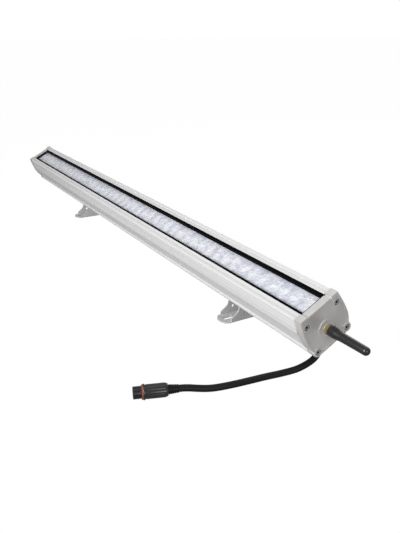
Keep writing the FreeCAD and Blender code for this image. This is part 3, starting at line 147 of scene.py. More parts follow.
class WasherColours(bpy.types.PropertyGroup):
    aluminium: colour("Aluminium", "Anodised housing", (0.77, 0.77, 0.772))
    cap: colour("End caps", "Paint of the cast end caps", (0.67, 0.66, 0.646))
    bracket: colour("Brackets", "Powder coat of the brackets", (0.60, 0.60, 0.60))
    steel: colour("Steel", "Screws, bolts and washers", (0.5, 0.5, 0.5))
    # Painted shade: the dark that fills the cap screws' sockets and the gap round their heads.
    oxide: colour("Screw sockets", "Dark oxide in the cap screws' sockets", (0.02, 0.02, 0.02))
    brass: colour("Brass", "Gold-plated jack, nut and ring", (0.64, 0.55, 0.35))
    gasket: colour("Gasket", "Black silicone", (0.003, 0.003, 0.0035))
    plastic: colour("Black plastic", "Antenna, gland and connector", (0.007, 0.007, 0.0085))
    cable: colour("Cable", "Cable sheath", (0.006, 0.006, 0.0065))
    seal: colour("Seal ring", "Silicone ring on the connector", (0.25, 0.06, 0.03))
    glass: colour("Cover glass", "Slight tone of the cover pane", (0.05, 0.06, 0.065))
    # Painted light on the lenses: the pale colour is their painted highlight and glints, the deep colour their
    # painted shade.
    lens_pale: colour("Lens highlight", "Bright facets of the lenses", (0.92, 0.94, 0.99))
    lens_deep: colour("Lens shade", "Shaded facets of the lenses", (0.56, 0.58, 0.68))
    board: colour("LED board", "White solder mask", (0.80, 0.81, 0.81))
    phosphor: colour("Phosphor", "Light source phosphor", (0.85, 0.68, 0.12))
    circuit: colour("Receiver board", "Green solder mask", (0.02, 0.14, 0.05))
    driver: colour("Driver case", "Case of the power driver", (0.55, 0.56, 0.57))
    lead: colour("Supply leads", "Insulation of the cores", (0.40, 0.04, 0.03))
    floor: colour("Floor", "Plain pale floor and backdrop", (0.34, 0.34, 0.34))


def sizes():
    return bpy.context.scene.washer_sizes


def colours():
    return bpy.context.scene.washer_colours


# ---------------------------------------------------------------- places

def near_face():
    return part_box("end_cap_near")[1][0]


def far_face():
    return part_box("end_cap_far")[0][0]


def lamp_place(along, across, level):
    """Matrix that carries a piece from its own frame onto the tilted lamp, X along the lamp."""
    pivot = Vector(JOINTS["bracket_near_tilt"]["pos_m"])
    pivot.x = near_face()
    lean = Matrix.Rotation(sizes().tilt, 4, "X")
    from_pivot = Matrix.Translation((along, across, level + sizes().pivot_drop))
    return Matrix.Translation(pivot) @ lean @ from_pivot


def port_places():
    """Places of the four screws of a cap, as (across, level)."""
    s = sizes()
    return [(side, level) for side in (s.port_across, -s.port_across)
            for level in (s.port_low, s.port_high)]


def lens_middle():
    """Place of the lens row's middle line along the lamp's lean."""
    pivot = JOINTS["bracket_near_tilt"]["pos_m"]
    return pivot[1] * math.cos(sizes().tilt) + pivot[2] * math.sin(sizes().tilt)


def lens_pitch():
    row = near_face() - far_face() - 2 * HOUSING_END
    return row / (LENS_BARS * sizes().lenses_per_bar)


# ---------------------------------------------------------------- shapes

def turned(profile, steps, closed=True):
    """Spins an outline about X: (along, radius) points in millimetres, a bmesh in metres."""
    bm = bmesh.new()
    verts = [bm.verts.new((along * MM, radius * MM, 0)) for along, radius in profile]
    pairs = list(zip(verts, verts[1:]))
    if closed:
        pairs.append((verts[-1], verts[0]))
    edges = [bm.edges.new(pair) for pair in pairs]
    bmesh.ops.spin(bm, geom=verts + edges, cent=(0, 0, 0), axis=(1, 0, 0),
                   angle=math.tau, steps=steps, use_merge=True)
    bmesh.ops.remove_doubles(bm, verts=bm.verts, dist=WELD)
    return bm


def flute(bm, steps, low, high, radius, depth):
    """Draws every other column of a spun wall inwards, between two places along X, all in mm."""
    for vert in bm.verts:
        reach = math.hypot(vert.co.y, vert.co.z)
        if low * MM <= vert.co.x <= high * MM and reach > radius * MM - WELD:
            step = round(math.atan2(vert.co.z, vert.co.y) / (math.tau / steps))
            if step % 2:
                vert.co.y *= (reach - depth * MM) / reach
                vert.co.z *= (reach - depth * MM) / reach


def prism(sides, radius, low, high):
    """A prism about X with a corner on +Y, its radius and ends in millimetres."""
    bm = bmesh.new()
    bmesh.ops.create_cone(bm, cap_ends=True, segments=sides, radius1=radius * MM,
                          radius2=radius * MM, depth=(high - low) * MM)
    bmesh.ops.rotate(bm, verts=bm.verts, cent=(0, 0, 0),
                     matrix=Matrix.Rotation(math.pi / 2, 3, "Y"))
    bmesh.ops.translate(bm, vec=((low + high) / 2 * MM, 0, 0), verts=bm.verts)
    return bm


def rounded_box(low, high, bevel):
    """A box between two corners with bevelled edges, in metres."""
    bm = bmesh.new()
    bmesh.ops.create_cube(bm, size=1)
    low, high = Vector(low), Vector(high)
    bmesh.ops.scale(bm, vec=high - low, verts=bm.verts)
    bmesh.ops.translate(bm, vec=(low + high) / 2, verts=bm.verts)
    bmesh.ops.bevel(bm, geom=bm.edges[:], offset=bevel, affect="EDGES", segments=2,
                    profile=0.5, material=-1)
    return bm


def add(target, part, place=None):
    """Moves a bmesh into another one at a place, and frees it."""
    if place is not None:
        bmesh.ops.transform(part, matrix=place, verts=part.verts)
    mesh = bpy.data.meshes.new("part")
    part.to_mesh(mesh)
    part.free()
    target.from_mesh(mesh)
    bpy.data.meshes.remove(mesh)


def new_object(name, data):
    """A new object at the origin of the scene."""
    item = bpy.data.objects.new(name, data)
    bpy.context.scene.collection.objects.link(item)
    return item


def finish_piece(name, bm, finish, body, replaced=(), crease=35):
    """Makes an object of a bmesh, shades it, gives it its material and ties it to the frame."""
    bmesh.ops.recalc_face_normals(bm, faces=bm.faces)
    limit = math.radians(crease)
    for edge in bm.edges:
        edge.smooth = len(edge.link_faces) == 2 and edge.calc_face_angle() < limit
    for face in bm.faces:
        face.smooth = True
    mesh = bpy.data.meshes.new(name)
    bm.to_mesh(mesh)
    bm.free()
    piece = new_object(name, mesh)
    mesh.materials.append(finish)
    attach(piece, body)
    if replaced:
        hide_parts(*replaced)
    return piece


# ---------------------------------------------------------------- shared effects

def effect_group(name, inputs, outputs):
    """A node group with named value inputs and value outputs."""
    tree = bpy.data.node_groups.new(name, "ShaderNodeTree")
    for label, default in inputs.items():
        socket = tree.interface.new_socket(label, in_out="INPUT", socket_type="NodeSocketFloat")
        socket.default_value = default
    for label in outputs:
        tree.interface.new_socket(label, in_out="OUTPUT", socket_type="NodeSocketFloat")
    return tree, tree.nodes.new("NodeGroupInput").outputs, tree.nodes.new("NodeGroupOutput").inputs


def connect(tree, value, socket):
    """Gives a socket a plain number, or a link from another socket."""
    if isinstance(value, (int, float)):
        socket.default_value = value
    else:
        tree.links.new(value, socket)


def link_maths(tree, operation, *values):
    """One maths node on sockets or plain numbers."""
    node = tree.nodes.new("ShaderNodeMath")
    node.operation = operation
    for socket, value in zip(node.inputs, values):
        connect(tree, value, socket)
    return node.outputs[0]


def object_place(tree):
    return tree.nodes.new("ShaderNodeTexCoord").outputs["Object"]


def place_along(tree):
    """Place along the lamp, X."""
    split = tree.nodes.new("ShaderNodeSeparateXYZ")
    tree.links.new(object_place(tree), split.inputs["Vector"])
    return split.outputs["X"]


def place_across(tree, middle):
    """Signed distance from the lamp's middle plane, across the leaning lamp."""
    lean = tree.nodes.new("ShaderNodeVectorMath")
    lean.operation = "DOT_PRODUCT"
    lean.inputs[1].default_value = (0, math.cos(sizes().tilt), math.sin(sizes().tilt))
    tree.links.new(object_place(tree), lean.inputs[0])
    return link_maths(tree, "SUBTRACT", lean.outputs["Value"], middle)


def noise(tree, where, scale, detail):
    """Noise from 0 to 1, its scale and detail from sockets or plain numbers."""
    node = tree.nodes.new("ShaderNodeTexNoise")
    tree.links.new(where, node.inputs["Vector"])
    connect(tree, scale, node.inputs["Scale"])
    connect(tree, detail, node.inputs["Detail"])
    return node.outputs["Fac"]


def build_speckle():
    """Fine grain of a coating: a height and a slow mottle mask, both from 0 to 1."""
    tree, given, put = effect_group("Speckle", {"Scale": 900.0, "Detail": 3.0},
                                    ("Height", "Mottle"))
    where = object_place(tree)
    tree.links.new(noise(tree, where, given["Scale"], given["Detail"]), put["Height"])
    tree.links.new(noise(tree, where, scale=35, detail=4), put["Mottle"])
    return tree


def build_drawn_lines():
    """Long die lines of an extrusion, which run along X."""
    tree, given, put = effect_group("Drawn lines", {"Scale": 700.0, "Stretch": 0.004},
                                    ("Height", "Streak"))
    squeeze = tree.nodes.new("ShaderNodeCombineXYZ")
    squeeze.inputs["Y"].default_value = 1
    squeeze.inputs["Z"].default_value = 1
    tree.links.new(given["Stretch"], squeeze.inputs["X"])
    scaled = tree.nodes.new("ShaderNodeVectorMath")
    scaled.operation = "MULTIPLY"
    tree.links.new(object_place(tree), scaled.inputs[0])
    tree.links.new(squeeze.outputs["Vector"], scaled.inputs[1])
    where = scaled.outputs["Vector"]
    tree.links.new(noise(tree, where, given["Scale"], detail=5), put["Height"])
    tree.links.new(noise(tree, where, scale=380, detail=3), put["Streak"])
    return tree


def build_rim_line():
    """A narrow line along X on both rims, the mask of their painted shade line: 0 in its middle and 1 away from
    it.
    """
    tree, given, put = effect_group("Rim line", {"Middle": 0.0, "Place": 0.0219, "Width": 0.001},
                                    ("Clear",))
    from_middle = link_maths(tree, "ABSOLUTE", place_across(tree, given["Middle"]))
    beside = link_maths(tree, "SUBTRACT", from_middle, given["Place"])
    share = link_maths(tree, "DIVIDE", link_maths(tree, "ABSOLUTE", beside), given["Width"])
    tree.links.new(link_maths(tree, "MINIMUM", share, 1), put["Clear"])
    return tree


def build_facets():
    """Broken facets of moulded optics: a cell height, and a mask of painted glints over cells and clouds."""
    tree, given, put = effect_group("Facets", {"Scale": 260.0}, ("Height", "Glint"))
    where = object_place(tree)
    cells = tree.nodes.new("ShaderNodeTexVoronoi")
    cells.feature = "SMOOTH_F1"
    tree.links.new(where, cells.inputs["Vector"])
    tree.links.new(given["Scale"], cells.inputs["Scale"])
    split = tree.nodes.new("ShaderNodeSeparateColor")
    tree.links.new(cells.outputs["Color"], split.inputs["Color"])
    cell_share, cloud_share = 0.3, 1.1
    cell = link_maths(tree, "MULTIPLY", split.outputs[0], cell_share)
    cloud = link_maths(tree, "MULTIPLY", noise(tree, where, scale=95, detail=5), cloud_share)
    tree.links.new(cells.outputs["Distance"], put["Height"])
    tree.links.new(link_maths(tree, "ADD", cell, cloud), put["Glint"])
    return tree


def build_lens_rings():
    """Distance from the nearest lens axis over the lens radius, in the row of lenses."""
    tree, given, put = effect_group(
        "Lens rings", {"Start": 0.0, "Pitch": 0.02, "Middle": 0.0, "Radius": 0.0097}, ("Reach",))
    run = link_maths(tree, "SUBTRACT", given["Start"], place_along(tree))
    lens = link_maths(tree, "FRACT", link_maths(tree, "DIVIDE", run, given["Pitch"]))
    along = link_maths(tree, "MULTIPLY", link_maths(tree, "SUBTRACT", lens, 0.5), given["Pitch"])
    across = place_across(tree, given["Middle"])
    square = link_maths(tree, "ADD", link_maths(tree, "MULTIPLY", along, along),
                        link_maths(tree, "MULTIPLY", across, across))
    reach = link_maths(tree, "DIVIDE", link_maths(tree, "POWER", square, 0.5), given["Radius"])
    tree.links.new(reach, put["Reach"])
    return tree


def build_recess():
    """How deep a point lies behind the two cap faces, over a given depth."""
    tree, given, put = effect_group("Recess", {"Near": 0.5, "Far": -0.5, "Depth": 0.001},
                                    ("Share",))
    along = place_along(tree)
    below = link_maths(tree, "MINIMUM", link_maths(tree, "SUBTRACT", given["Near"], along),
                       link_maths(tree, "SUBTRACT", along, given["Far"]))
    tree.links.new(link_maths(tree, "DIVIDE", below, given["Depth"]), put["Share"])
    return tree


EFFECTS = {"Speckle": build_speckle, "Drawn lines": build_drawn_lines, "Facets": build_facets,
           "Lens rings": build_lens_rings, "Recess": build_recess, "Rim line": build_rim_line}


# ---------------------------------------------------------------- materials

class Finish:
    """A material with a Principled shader, and the few links that its effects need."""

    def __init__(self, name, roughness, metallic=0.0):
        self.material = bpy.data.materials.new(name)
        self.material.use_nodes = True
        self.tree = self.material.node_tree
        self.shader = self.tree.nodes["Principled BSDF"]
        self.fix("Roughness", roughness)
        self.fix("Metallic", metallic)

    def fix(self, label, value):
        """Sets what is the same all over the surface on the shader's own socket."""
        self.shader.inputs[label].default_value = value

    def effect(self, name, **values):
        """Places a shared effect, building its group the first time."""
        node = self.tree.nodes.new("ShaderNodeGroup")
        node.node_tree = bpy.data.node_groups.get(name) or EFFECTS[name]()
        for label, value in values.items():
            node.inputs[label].default_value = value
        return node.outputs

    def tint(self, mask, low, high, darker, lighter):
        """Base colour that runs from darker to lighter as the mask goes from low to high."""
        ramp = self.tree.nodes.new("ShaderNodeValToRGB")
        ends = ramp.color_ramp.elements
        ends[0].position, ends[1].position = low, high
        ends[0].color, ends[1].color = (*darker, 1), (*lighter, 1)
        self.tree.links.new(mask, ramp.inputs["Fac"])
        self.tree.links.new(ramp.outputs["Color"], self.shader.inputs["Base Color"])

    def vary_roughness(self, mask, low, high):
        """Roughness that runs from low to high with the mask."""
        span = self.tree.nodes.new("ShaderNodeMapRange")
        span.inputs["To Min"].default_value = low
        span.inputs["To Max"].default_value = high
        self.tree.links.new(mask, span.inputs["Value"])
        self.tree.links.new(span.outputs["Result"], self.shader.inputs["Roughness"])

    def bump(self, height, strength, distance):
        """Relief of a height from 0 to 1 over a distance in metres."""
        node = self.tree.nodes.new("ShaderNodeBump")
        node.inputs["Strength"].default_value = strength
        node.inputs["Distance"].default_value = distance
        self.tree.links.new(height, node.inputs["Height"])
        self.tree.links.new(node.outputs["Normal"], self.shader.inputs["Normal"])


def shade(rgb, factor):
    return tuple(min(1.0, value * factor) for value in rgb)


def coated(name, rgb, roughness, metallic=0.0, scale=900.0, grain=0.25, depth=0.1 * MM,
           mottle=0.06, sheen=0.5):
    """A painted, cast or moulded surface with a fine grain and a slow change of tone."""
    finish = Finish(name, roughness, metallic)
    finish.fix("Specular IOR Level", sheen)
    out = finish.effect("Speckle", Scale=scale)
    finish.tint(out["Mottle"], low=0.35, high=0.65,
                darker=shade(rgb, 1 - mottle), lighter=shade(rgb, 1 + mottle))
    finish.vary_roughness(out["Mottle"], roughness - 0.06, roughness + 0.06)
    finish.bump(out["Height"], grain, depth)
    return finish.material


def make_aluminium():
    """Anodised skin with drawn lines, and a painted shade line along each rim where its groove lies."""
    finish = Finish("Anodised aluminium", roughness=0.36, metallic=0.25)
    finish.fix("Specular IOR Level", 0.2)
    out = finish.effect("Drawn lines")
    # Painted shade: a dark line along each rim, where its groove lies.
    line = finish.effect("Rim line", Middle=lens_middle(), Place=sizes().rim_line, Width=0.8 * MM)
    mask = link_maths(finish.tree, "MULTIPLY", out["Streak"], line["Clear"])
    tone = colours().aluminium
    finish.tint(mask, low=0.0, high=0.62, darker=shade(tone, 0.78), lighter=shade(tone, 1.04))
    finish.vary_roughness(out["Streak"], low=0.28, high=0.44)
    finish.bump(out["Height"], strength=0.16, distance=0.08 * MM)
    return finish.material


def make_lens_acrylic():
    """Moulded optics as one pale surface, with a painted highlight at each lens's axis, painted shade towards its
    edge and painted glints.
    """
    finish = Finish("Lens acrylic", roughness=0.22)
    facets = finish.effect("Facets")
    rings = finish.effect("Lens rings", Start=near_face() - HOUSING_END, Pitch=lens_pitch(),
                          Middle=lens_middle(), Radius=sizes().lens_radius)
    # Painted shade that deepens towards each lens's edge.
    edge_shade = -0.34
    fade = link_maths(finish.tree, "MULTIPLY", rings["Reach"], edge_shade)
    mask = link_maths(finish.tree, "ADD", facets["Glint"], fade)
    finish.tint(mask, low=0.03, high=0.6, darker=colours().lens_deep, lighter=colours().lens_pale)
    finish.bump(facets["Height"], strength=0.55, distance=1.4 * MM)
    finish.fix("IOR", 1.49)
    finish.fix("Coat Weight", 0.25)
    finish.fix("Coat Roughness", 0.05)
    return finish.material


def make_screw_steel():
    """Bare steel on the heads' outer faces, and painted shade in the sockets and below them."""
    finish = Finish("Screw steel", roughness=0.34, metallic=0.9)
    # Painted shade: the recess mask darkens the screws behind the cap faces, in the sockets and round the heads.
    recess = finish.effect("Recess", Near=near_face(), Far=far_face(), Depth=1.2 * MM)
    finish.tint(recess["Share"], low=0.6, high=0.95,
                darker=colours().steel, lighter=colours().oxide)
    grain = finish.effect("Speckle", Scale=2500.0)
    finish.bump(grain["Height"], strength=0.1, distance=0.03 * MM)
    return finish.material


def make_glass():
    """A thin pane that is nearly all see-through, with slight smears in its gloss."""
    finish = Finish("Cover glass", roughness=0.02)
    finish.fix("Base Color", (*colours().glass, 1))
    finish.fix("Alpha", 0.06)
    finish.fix("IOR", 1.5)
    out = finish.effect("Speckle", Scale=30.0)
    finish.vary_roughness(out["Mottle"], low=0.01, high=0.05)
    return finish.material


def make_materials():
    """Every finish of the light, by the record's material slot."""
    c = colours()
    return {
        "aluminium": make_aluminium(),
        "cap_paint": coated("Cast cap paint", c.cap, 0.38, metallic=0.5, scale=750.0, grain=0.45,
                            depth=0.18 * MM, mottle=0.07),
        "bracket_paint": coated("Bracket powder coat", c.bracket, 0.45, metallic=0.3,
                                scale=1500.0, grain=0.35),
        "steel": coated("Stainless steel", c.steel, 0.3, metallic=1.0, scale=2500.0, grain=0.1,
                        depth=0.03 * MM),
        "brass": coated("Plated brass", c.brass, 0.27, metallic=1.0, scale=2500.0, grain=0.08,
                        depth=0.02 * MM),
        "gasket": coated("Gasket silicone", c.gasket, 0.5, scale=1200.0, grain=0.2,
                         depth=0.05 * MM, sheen=0.03),
        "cable": coated("Cable sheath", c.cable, 0.46, scale=1600.0, grain=0.3,
                        depth=0.06 * MM, sheen=0.2),
        "seal": coated("Seal ring silicone", c.seal, 0.45),
        "black_plastic": coated("Black moulding", c.plastic, 0.29, scale=1800.0,
                                depth=0.05 * MM, sheen=0.6),
        "cover_glass": make_glass(),
        "lens": make_lens_acrylic(),
        "board": coated("White solder mask", c.board, 0.35),
        "led": coated("Phosphor", c.phosphor, 0.4),
        "circuit": coated("Green solder mask", c.circuit, 0.3),
        "driver_case": coated("Driver case", c.driver, 0.4, metallic=0.8),
        "lead": coated("Core insulation", c.lead, 0.4),
    }


# Name of the material of each slot, filled by the finishes' operator.
FINISH_NAMES = {}


def finish_of(slot):
    return bpy.data.materials[FINISH_NAMES[slot]]


# ---------------------------------------------------------------- operators

class WASHER_OT_finishes(bpy.types.Operator):
    """Give every node of the construction model its finish"""
    bl_idname = "washer.finishes"
    bl_label = "Finishes"

    def execute(self, context):
        for slot, material in make_materials().items():
            FINISH_NAMES[slot] = material.name
        for part in frame["record"]["subparts"]:
            node = NODES[part["node"]]
            node.data.materials.clear()
            node.data.materials.append(finish_of(part["material_slot"]))
        return {"FINISHED"}


class WASHER_OT_lenses(bpy.types.Operator):
    """Model the moulded lens bars under the glass"""
    bl_idname = "washer.lenses"
    bl_label = "Lens bars"

    PLATE_HALF = 14.05 * MM
    PLATE_LOW = 48.65 * MM
    PLATE_TOP = 49.3 * MM
    PLATE_BEVEL = 0.25 * MM
    POST_ACROSS = 11.2 * MM
    # How far a bar ends short of the housing's end, and of the middle of its joint to the next.
    HOUSING_GAP = 2.35 * MM
    BAR_GAP = 0.2 * MM

    def execute(self, context):
        for number in range(1, LENS_BARS + 1):
            self.lens_bar(number)
        return {"FINISHED"}

    def lens_bar(self, number):
        """A plate that carries a row of lenses, on three pairs of posts."""
        count, pitch = sizes().lenses_per_bar, lens_pitch()
        start = -HOUSING_END - pitch * count * (number - 1)
        near_gap = self.HOUSING_GAP if number == 1 else self.BAR_GAP
        far_gap = self.HOUSING_GAP if number == LENS_BARS else self.BAR_GAP
        upright = Matrix.Rotation(-math.pi / 2, 4, "Y")
        bm = bmesh.new()
        add(bm, rounded_box((start - pitch * count + far_gap, -self.PLATE_HALF, self.PLATE_LOW),
                            (start - near_gap, self.PLATE_HALF, self.PLATE_TOP),
                            self.PLATE_BEVEL))
        for lens in range(count):
            centre = start - pitch * (lens + 0.5)
            add(bm, self.lens(), Matrix.Translation((centre, 0, 0)) @ upright)
        for gap in (1, count // 2, count - 1):
            for side in (self.POST_ACROSS, -self.POST_ACROSS):
                post = turned([(35.7, 0), (35.7, 1.0), (48.8, 1.1), (48.8, 0)], 12, closed=False)
                add(bm, post, Matrix.Translation((start - pitch * gap, side, 0)) @ upright)
        bmesh.ops.transform(bm, matrix=lamp_place(0, 0, 0), verts=bm.verts)
        finish_piece(f"optics_{number}", bm, finish_of("lens"), "lamp",
                     (f"lens_bar_{number}",), crease=20)

    def lens(self):
        """A collimator: a cone over the light source, with a stepped ring and a pillowed top."""
        steps = 24
        pillow, pillow_low, pillow_inner, pillow_outer = 0.2, 48.6, 2, 8
        radius = sizes().lens_radius / MM
        bm = turned([(36.7, 0), (36.7, 4.0), (43.0, 7.6), (47.6, radius), (49.35, radius),
                     (49.55, radius - 0.4), (49.55, 8.7), (48.8, 8.3), (49.2, 6.4), (48.7, 4.6),
                     (49.3, 2.6), (49.5, 0)], steps, closed=False)
        for vert in bm.verts:
            reach = math.hypot(vert.co.y, vert.co.z)
            if vert.co.x > pillow_low * MM and pillow_inner * MM < reach < pillow_outer * MM:
                step = round(math.atan2(vert.co.z, vert.co.y) / (math.tau / steps))
                vert.co.x += pillow * MM if step % 2 else -pillow * MM
        return bm


class WASHER_OT_screws(bpy.types.Operator):
    """Model the socket-head screws of the end caps"""
    bl_idname = "washer.cap_screws"
    bl_label = "Cap screws"

    def execute(self, context):
        steel = make_screw_steel()
        for name, face, turn in (("near", 0.0, 0), ("far", far_face() - near_face(), math.pi)):
            outward = Matrix.Rotation(turn, 4, "Z")
            bm = bmesh.new()
            for across, level in port_places():
                add(bm, self.screw(), lamp_place(face, across, level) @ outward)
            finish_piece("socket_screws_" + name, bm, steel, "lamp",
                         ("cap_screws_" + name,), crease=30)
        return {"FINISHED"}

    def screw(self):
        """Head with a knurled side and a hex socket, its outer face towards +X."""
        steps = 48
        top, seat, end = -0.4, -3.6, -22.5
        head, shank, socket, floor = 3.38, 1.66, 1.75, -2.3
        flat_half, slack = 1.5, 0.01
        bm = turned([(floor, socket), (top - 0.15, socket), (top, socket + 0.25),
                     (top, head - 0.5), (top - 0.5, head), (seat, head), (seat, shank),
                     (end, shank), (end - 0.4, 0.9), (end - 0.4, 0)], steps, closed=False)
        flute(bm, steps, seat + slack, top - 0.4, head, depth=0.14)
        for vert in bm.verts:
            reach = math.hypot(vert.co.y, vert.co.z)
            if reach < (socket + slack) * MM and vert.co.x > (floor - slack) * MM:
                angle = math.atan2(vert.co.z, vert.co.y) % (math.pi / 3) - math.pi / 6
                flat = flat_half * MM / math.cos(angle)
                vert.co.y *= flat / reach
                vert.co.z *= flat / reach
        rim = [edge for edge in bm.edges if edge.is_boundary]
        bmesh.ops.holes_fill(bm, edges=rim, sides=0)
        return bm


class WASHER_OT_antenna(bpy.types.Operator):
    """Model the threaded jack, its knurled ring and the stub antenna"""
    bl_idname = "washer.antenna"
    bl_label = "Antenna"

    def execute(self, context):
        self.jack()
        self.ring()
        self.sleeve()
        return {"FINISHED"}

    def on_axis(self, bm):
        bmesh.ops.transform(bm, matrix=lamp_place(0, 0, sizes().jack_level), verts=bm.verts)

    def jack(self):
        """Bulkhead jack with its hexagon behind the cap, and a ridge at each turn of its thread."""
        pitch = sizes().thread_pitch / MM
        crest, valley = 3.1, 2.8
        start, end = -9.8, 9.5
        profile = [(-18, 0), (-18, 2), (-13, 2), (-12.9, crest)]
        for number in range(int((end - start) / pitch) - 1):
            profile += [(start + pitch * number, valley), (start + pitch * (number + 0.5), crest)]
        profile += [(end, valley), (end, 2.35), (4, 2.35), (4, 1.0), (7.5, 1.0), (7.5, 0.6),
                    (4, 0.6), (4, 0)]
        bm = bmesh.new()
        add(bm, turned(profile, 40, closed=False))
        add(bm, prism(6, 4.6, -12.95, -10.05))
        self.on_axis(bm)
        finish_piece("threaded_jack", bm, finish_of("brass"), "lamp", ("antenna_jack",))

    def ring(self):
        """Coupling ring with a knurled wall, bored for the thread and the antenna's core."""
        steps = 56
        outer = 4.98
        bm = turned([(2.95, 3.2), (10, 3.2), (10, 2.1), (11.3, 2.1), (11.3, 4.5), (10.9, outer),
                     (3.35, outer), (2.95, outer - 0.4)], steps)
        flute(bm, steps, 3.3, 10.95, outer, depth=0.22)
        self.on_axis(bm)
        finish_piece("knurled_ring", bm, finish_of("brass"), "coupling_ring",
                     ("coupling_ring",), crease=25)

    def sleeve(self):
        """Rubber-covered stub: a skirt over the ring, a taper and a rod with a round tip."""
        tip, tip_round, tip_flat = 60, 4.3, 0.45
        profile = [(4.3, 5.27), (11.5, 5.27), (11.5, 1.87), (52, 1.87), (52, 0), (tip, 0)]
        for number in range(1, 7):
            angle = math.radians(15 * number)
            profile.append((tip - tip_round * (1 - math.cos(angle)),
                            tip_flat + tip_round * math.sin(angle)))
        profile += [(40, 4.95), (23, 5.18), (20.5, 5.3), (14.3, 6.1), (13, 6.27), (11, 6.3),
                    (4.7, 6.3), (4.2, 6.1)]
        bm = turned(profile, 64)
        self.on_axis(bm)
        finish_piece("antenna_cover", bm, finish_of("black_plastic"), "antenna",
                     ("antenna_sleeve",), crease=30)


class WASHER_OT_cable(bpy.types.Operator):
    """Lay the power cable and model its gland nut and connector"""
    bl_idname = "washer.cable"
    bl_label = "Cable and connector"

    def execute(self, context):
        self.gland_nut()
        shell = self.connector()
        relief = self.relief()
        pins = NODES["connector_pins"]
        seal = NODES["connector_seal_ring"]
        self.cable([relief, shell, pins, seal])
        return {"FINISHED"}

    def exit_point(self):
        s = sizes()
        return lamp_place(-s.gland_back, s.gland_across, GLAND_MOUTH).translation

    def cable(self, carried):
        """The cord on one smooth curve from the gland's mouth to the connector."""
        corners = [tuple(self.exit_point())] + CABLE_CORNERS
        curve = bpy.data.curves.new("cable", "CURVE")
        curve.dimensions = "3D"
        curve.bevel_depth = sizes().cable_width / 2
        curve.bevel_resolution = 8
        curve.resolution_u = 14
        curve.use_fill_caps = True
        spline = curve.splines.new("NURBS")
        spline.points.add(len(corners) - 1)
        for point, corner in zip(spline.points, corners):
            point.co = (*corner, 1)
        spline.order_u = 3
        spline.use_endpoint_u = True
        piece = new_object("cable", curve)
        curve.materials.append(finish_of("cable"))
        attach(piece, "lamp")
        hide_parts("power_cable")

    def gland_nut(self):
        """Domed nut with grip flats, its mouth towards the floor."""
        steps = 36
        outer, bore, mouth = 8.0, 4.06, GLAND_MOUTH / MM
        bm = turned([(mouth, bore), (mouth, 5.1), (-10.7, 5.6), (-8.4, outer - 0.4),
                     (-8.2, outer), (-4.5, outer), (-4.1, outer - 0.4), (-4.1, 5.2),
                     (-2.5, 5.2), (-2.5, bore)], steps)
        flute(bm, steps, -8.3, -4.4, outer, depth=0.35)
        s = sizes()
        place = lamp_place(-s.gland_back, s.gland_across, 0) @ Matrix.Rotation(-math.pi / 2, 4, "Y")
        bmesh.ops.transform(bm, matrix=place, verts=bm.verts)
        finish_piece("gland_cap", bm, finish_of("black_plastic"), "lamp",
                     ("gland_nut",), crease=25)

    def connector_place(self):
        """Place of the cable's end, X along its last run."""
        before, end = Vector(CABLE_CORNERS[-2]), Vector(CABLE_CORNERS[-1])
        turn = math.atan2(end.y - before.y, end.x - before.x)
        return Matrix.Translation(end) @ Matrix.Rotation(turn, 4, "Z")

    def connector(self):
        """Round shell with grip ribs, a flange, a threaded spout and a socket for the pins."""
        steps = 48
        outer, crest, valley, bore = 8.0, 7.0, 6.55, 5.45
        profile = [(12.1, 5.8), (17.8, 5.8), (17.8, 0), (41, 0), (41, bore), (50, bore), (50, 6.6)]
        for number in range(6):
            top = 49.6 - 1.5 * number
            profile += [(top, crest), (top - 0.9, crest), (top - 1.1, valley)]
        profile += [(39.1, 6.95), (39, 8.6), (38.7, 8.8), (37.3, 8.8), (37, 8.5), (37, 7.7),
                    (36, 7.7), (35.5, outer), (15.5, outer), (14, 7.6), (12, 6.9)]
        bm = turned(profile, steps)
        flute(bm, steps, 15.4, 35.6, outer, depth=0.4)
        bmesh.ops.transform(bm, matrix=self.connector_place(), verts=bm.verts)
        return finish_piece("connector_shell", bm, finish_of("black_plastic"), "lamp",
                            ("cable_connector",), crease=25)

    def relief(self):
        """Ringed strain relief that tapers onto the cable."""
        mouth = 0.05
        profile = [(mouth, 4.02), (0, 4.4)]
        for number in range(5):
            start, radius = 0.8 + 2.2 * number, 4.65 + 0.2 * number
            profile += [(start, radius), (start + 1.3, radius + 0.1),
                        (start + 1.5, radius - 0.45), (start + 2.0, radius - 0.4)]
        profile += [(12, 5.65), (17.7, 5.65), (17.7, 0), (mouth, 0)]
        bm = turned(profile, 32, closed=False)
        bmesh.ops.transform(bm, matrix=self.connector_place(), verts=bm.verts)
        return finish_piece("relief_sleeve", bm, finish_of("cable"), "lamp",
                            ("connector_relief",), crease=30)


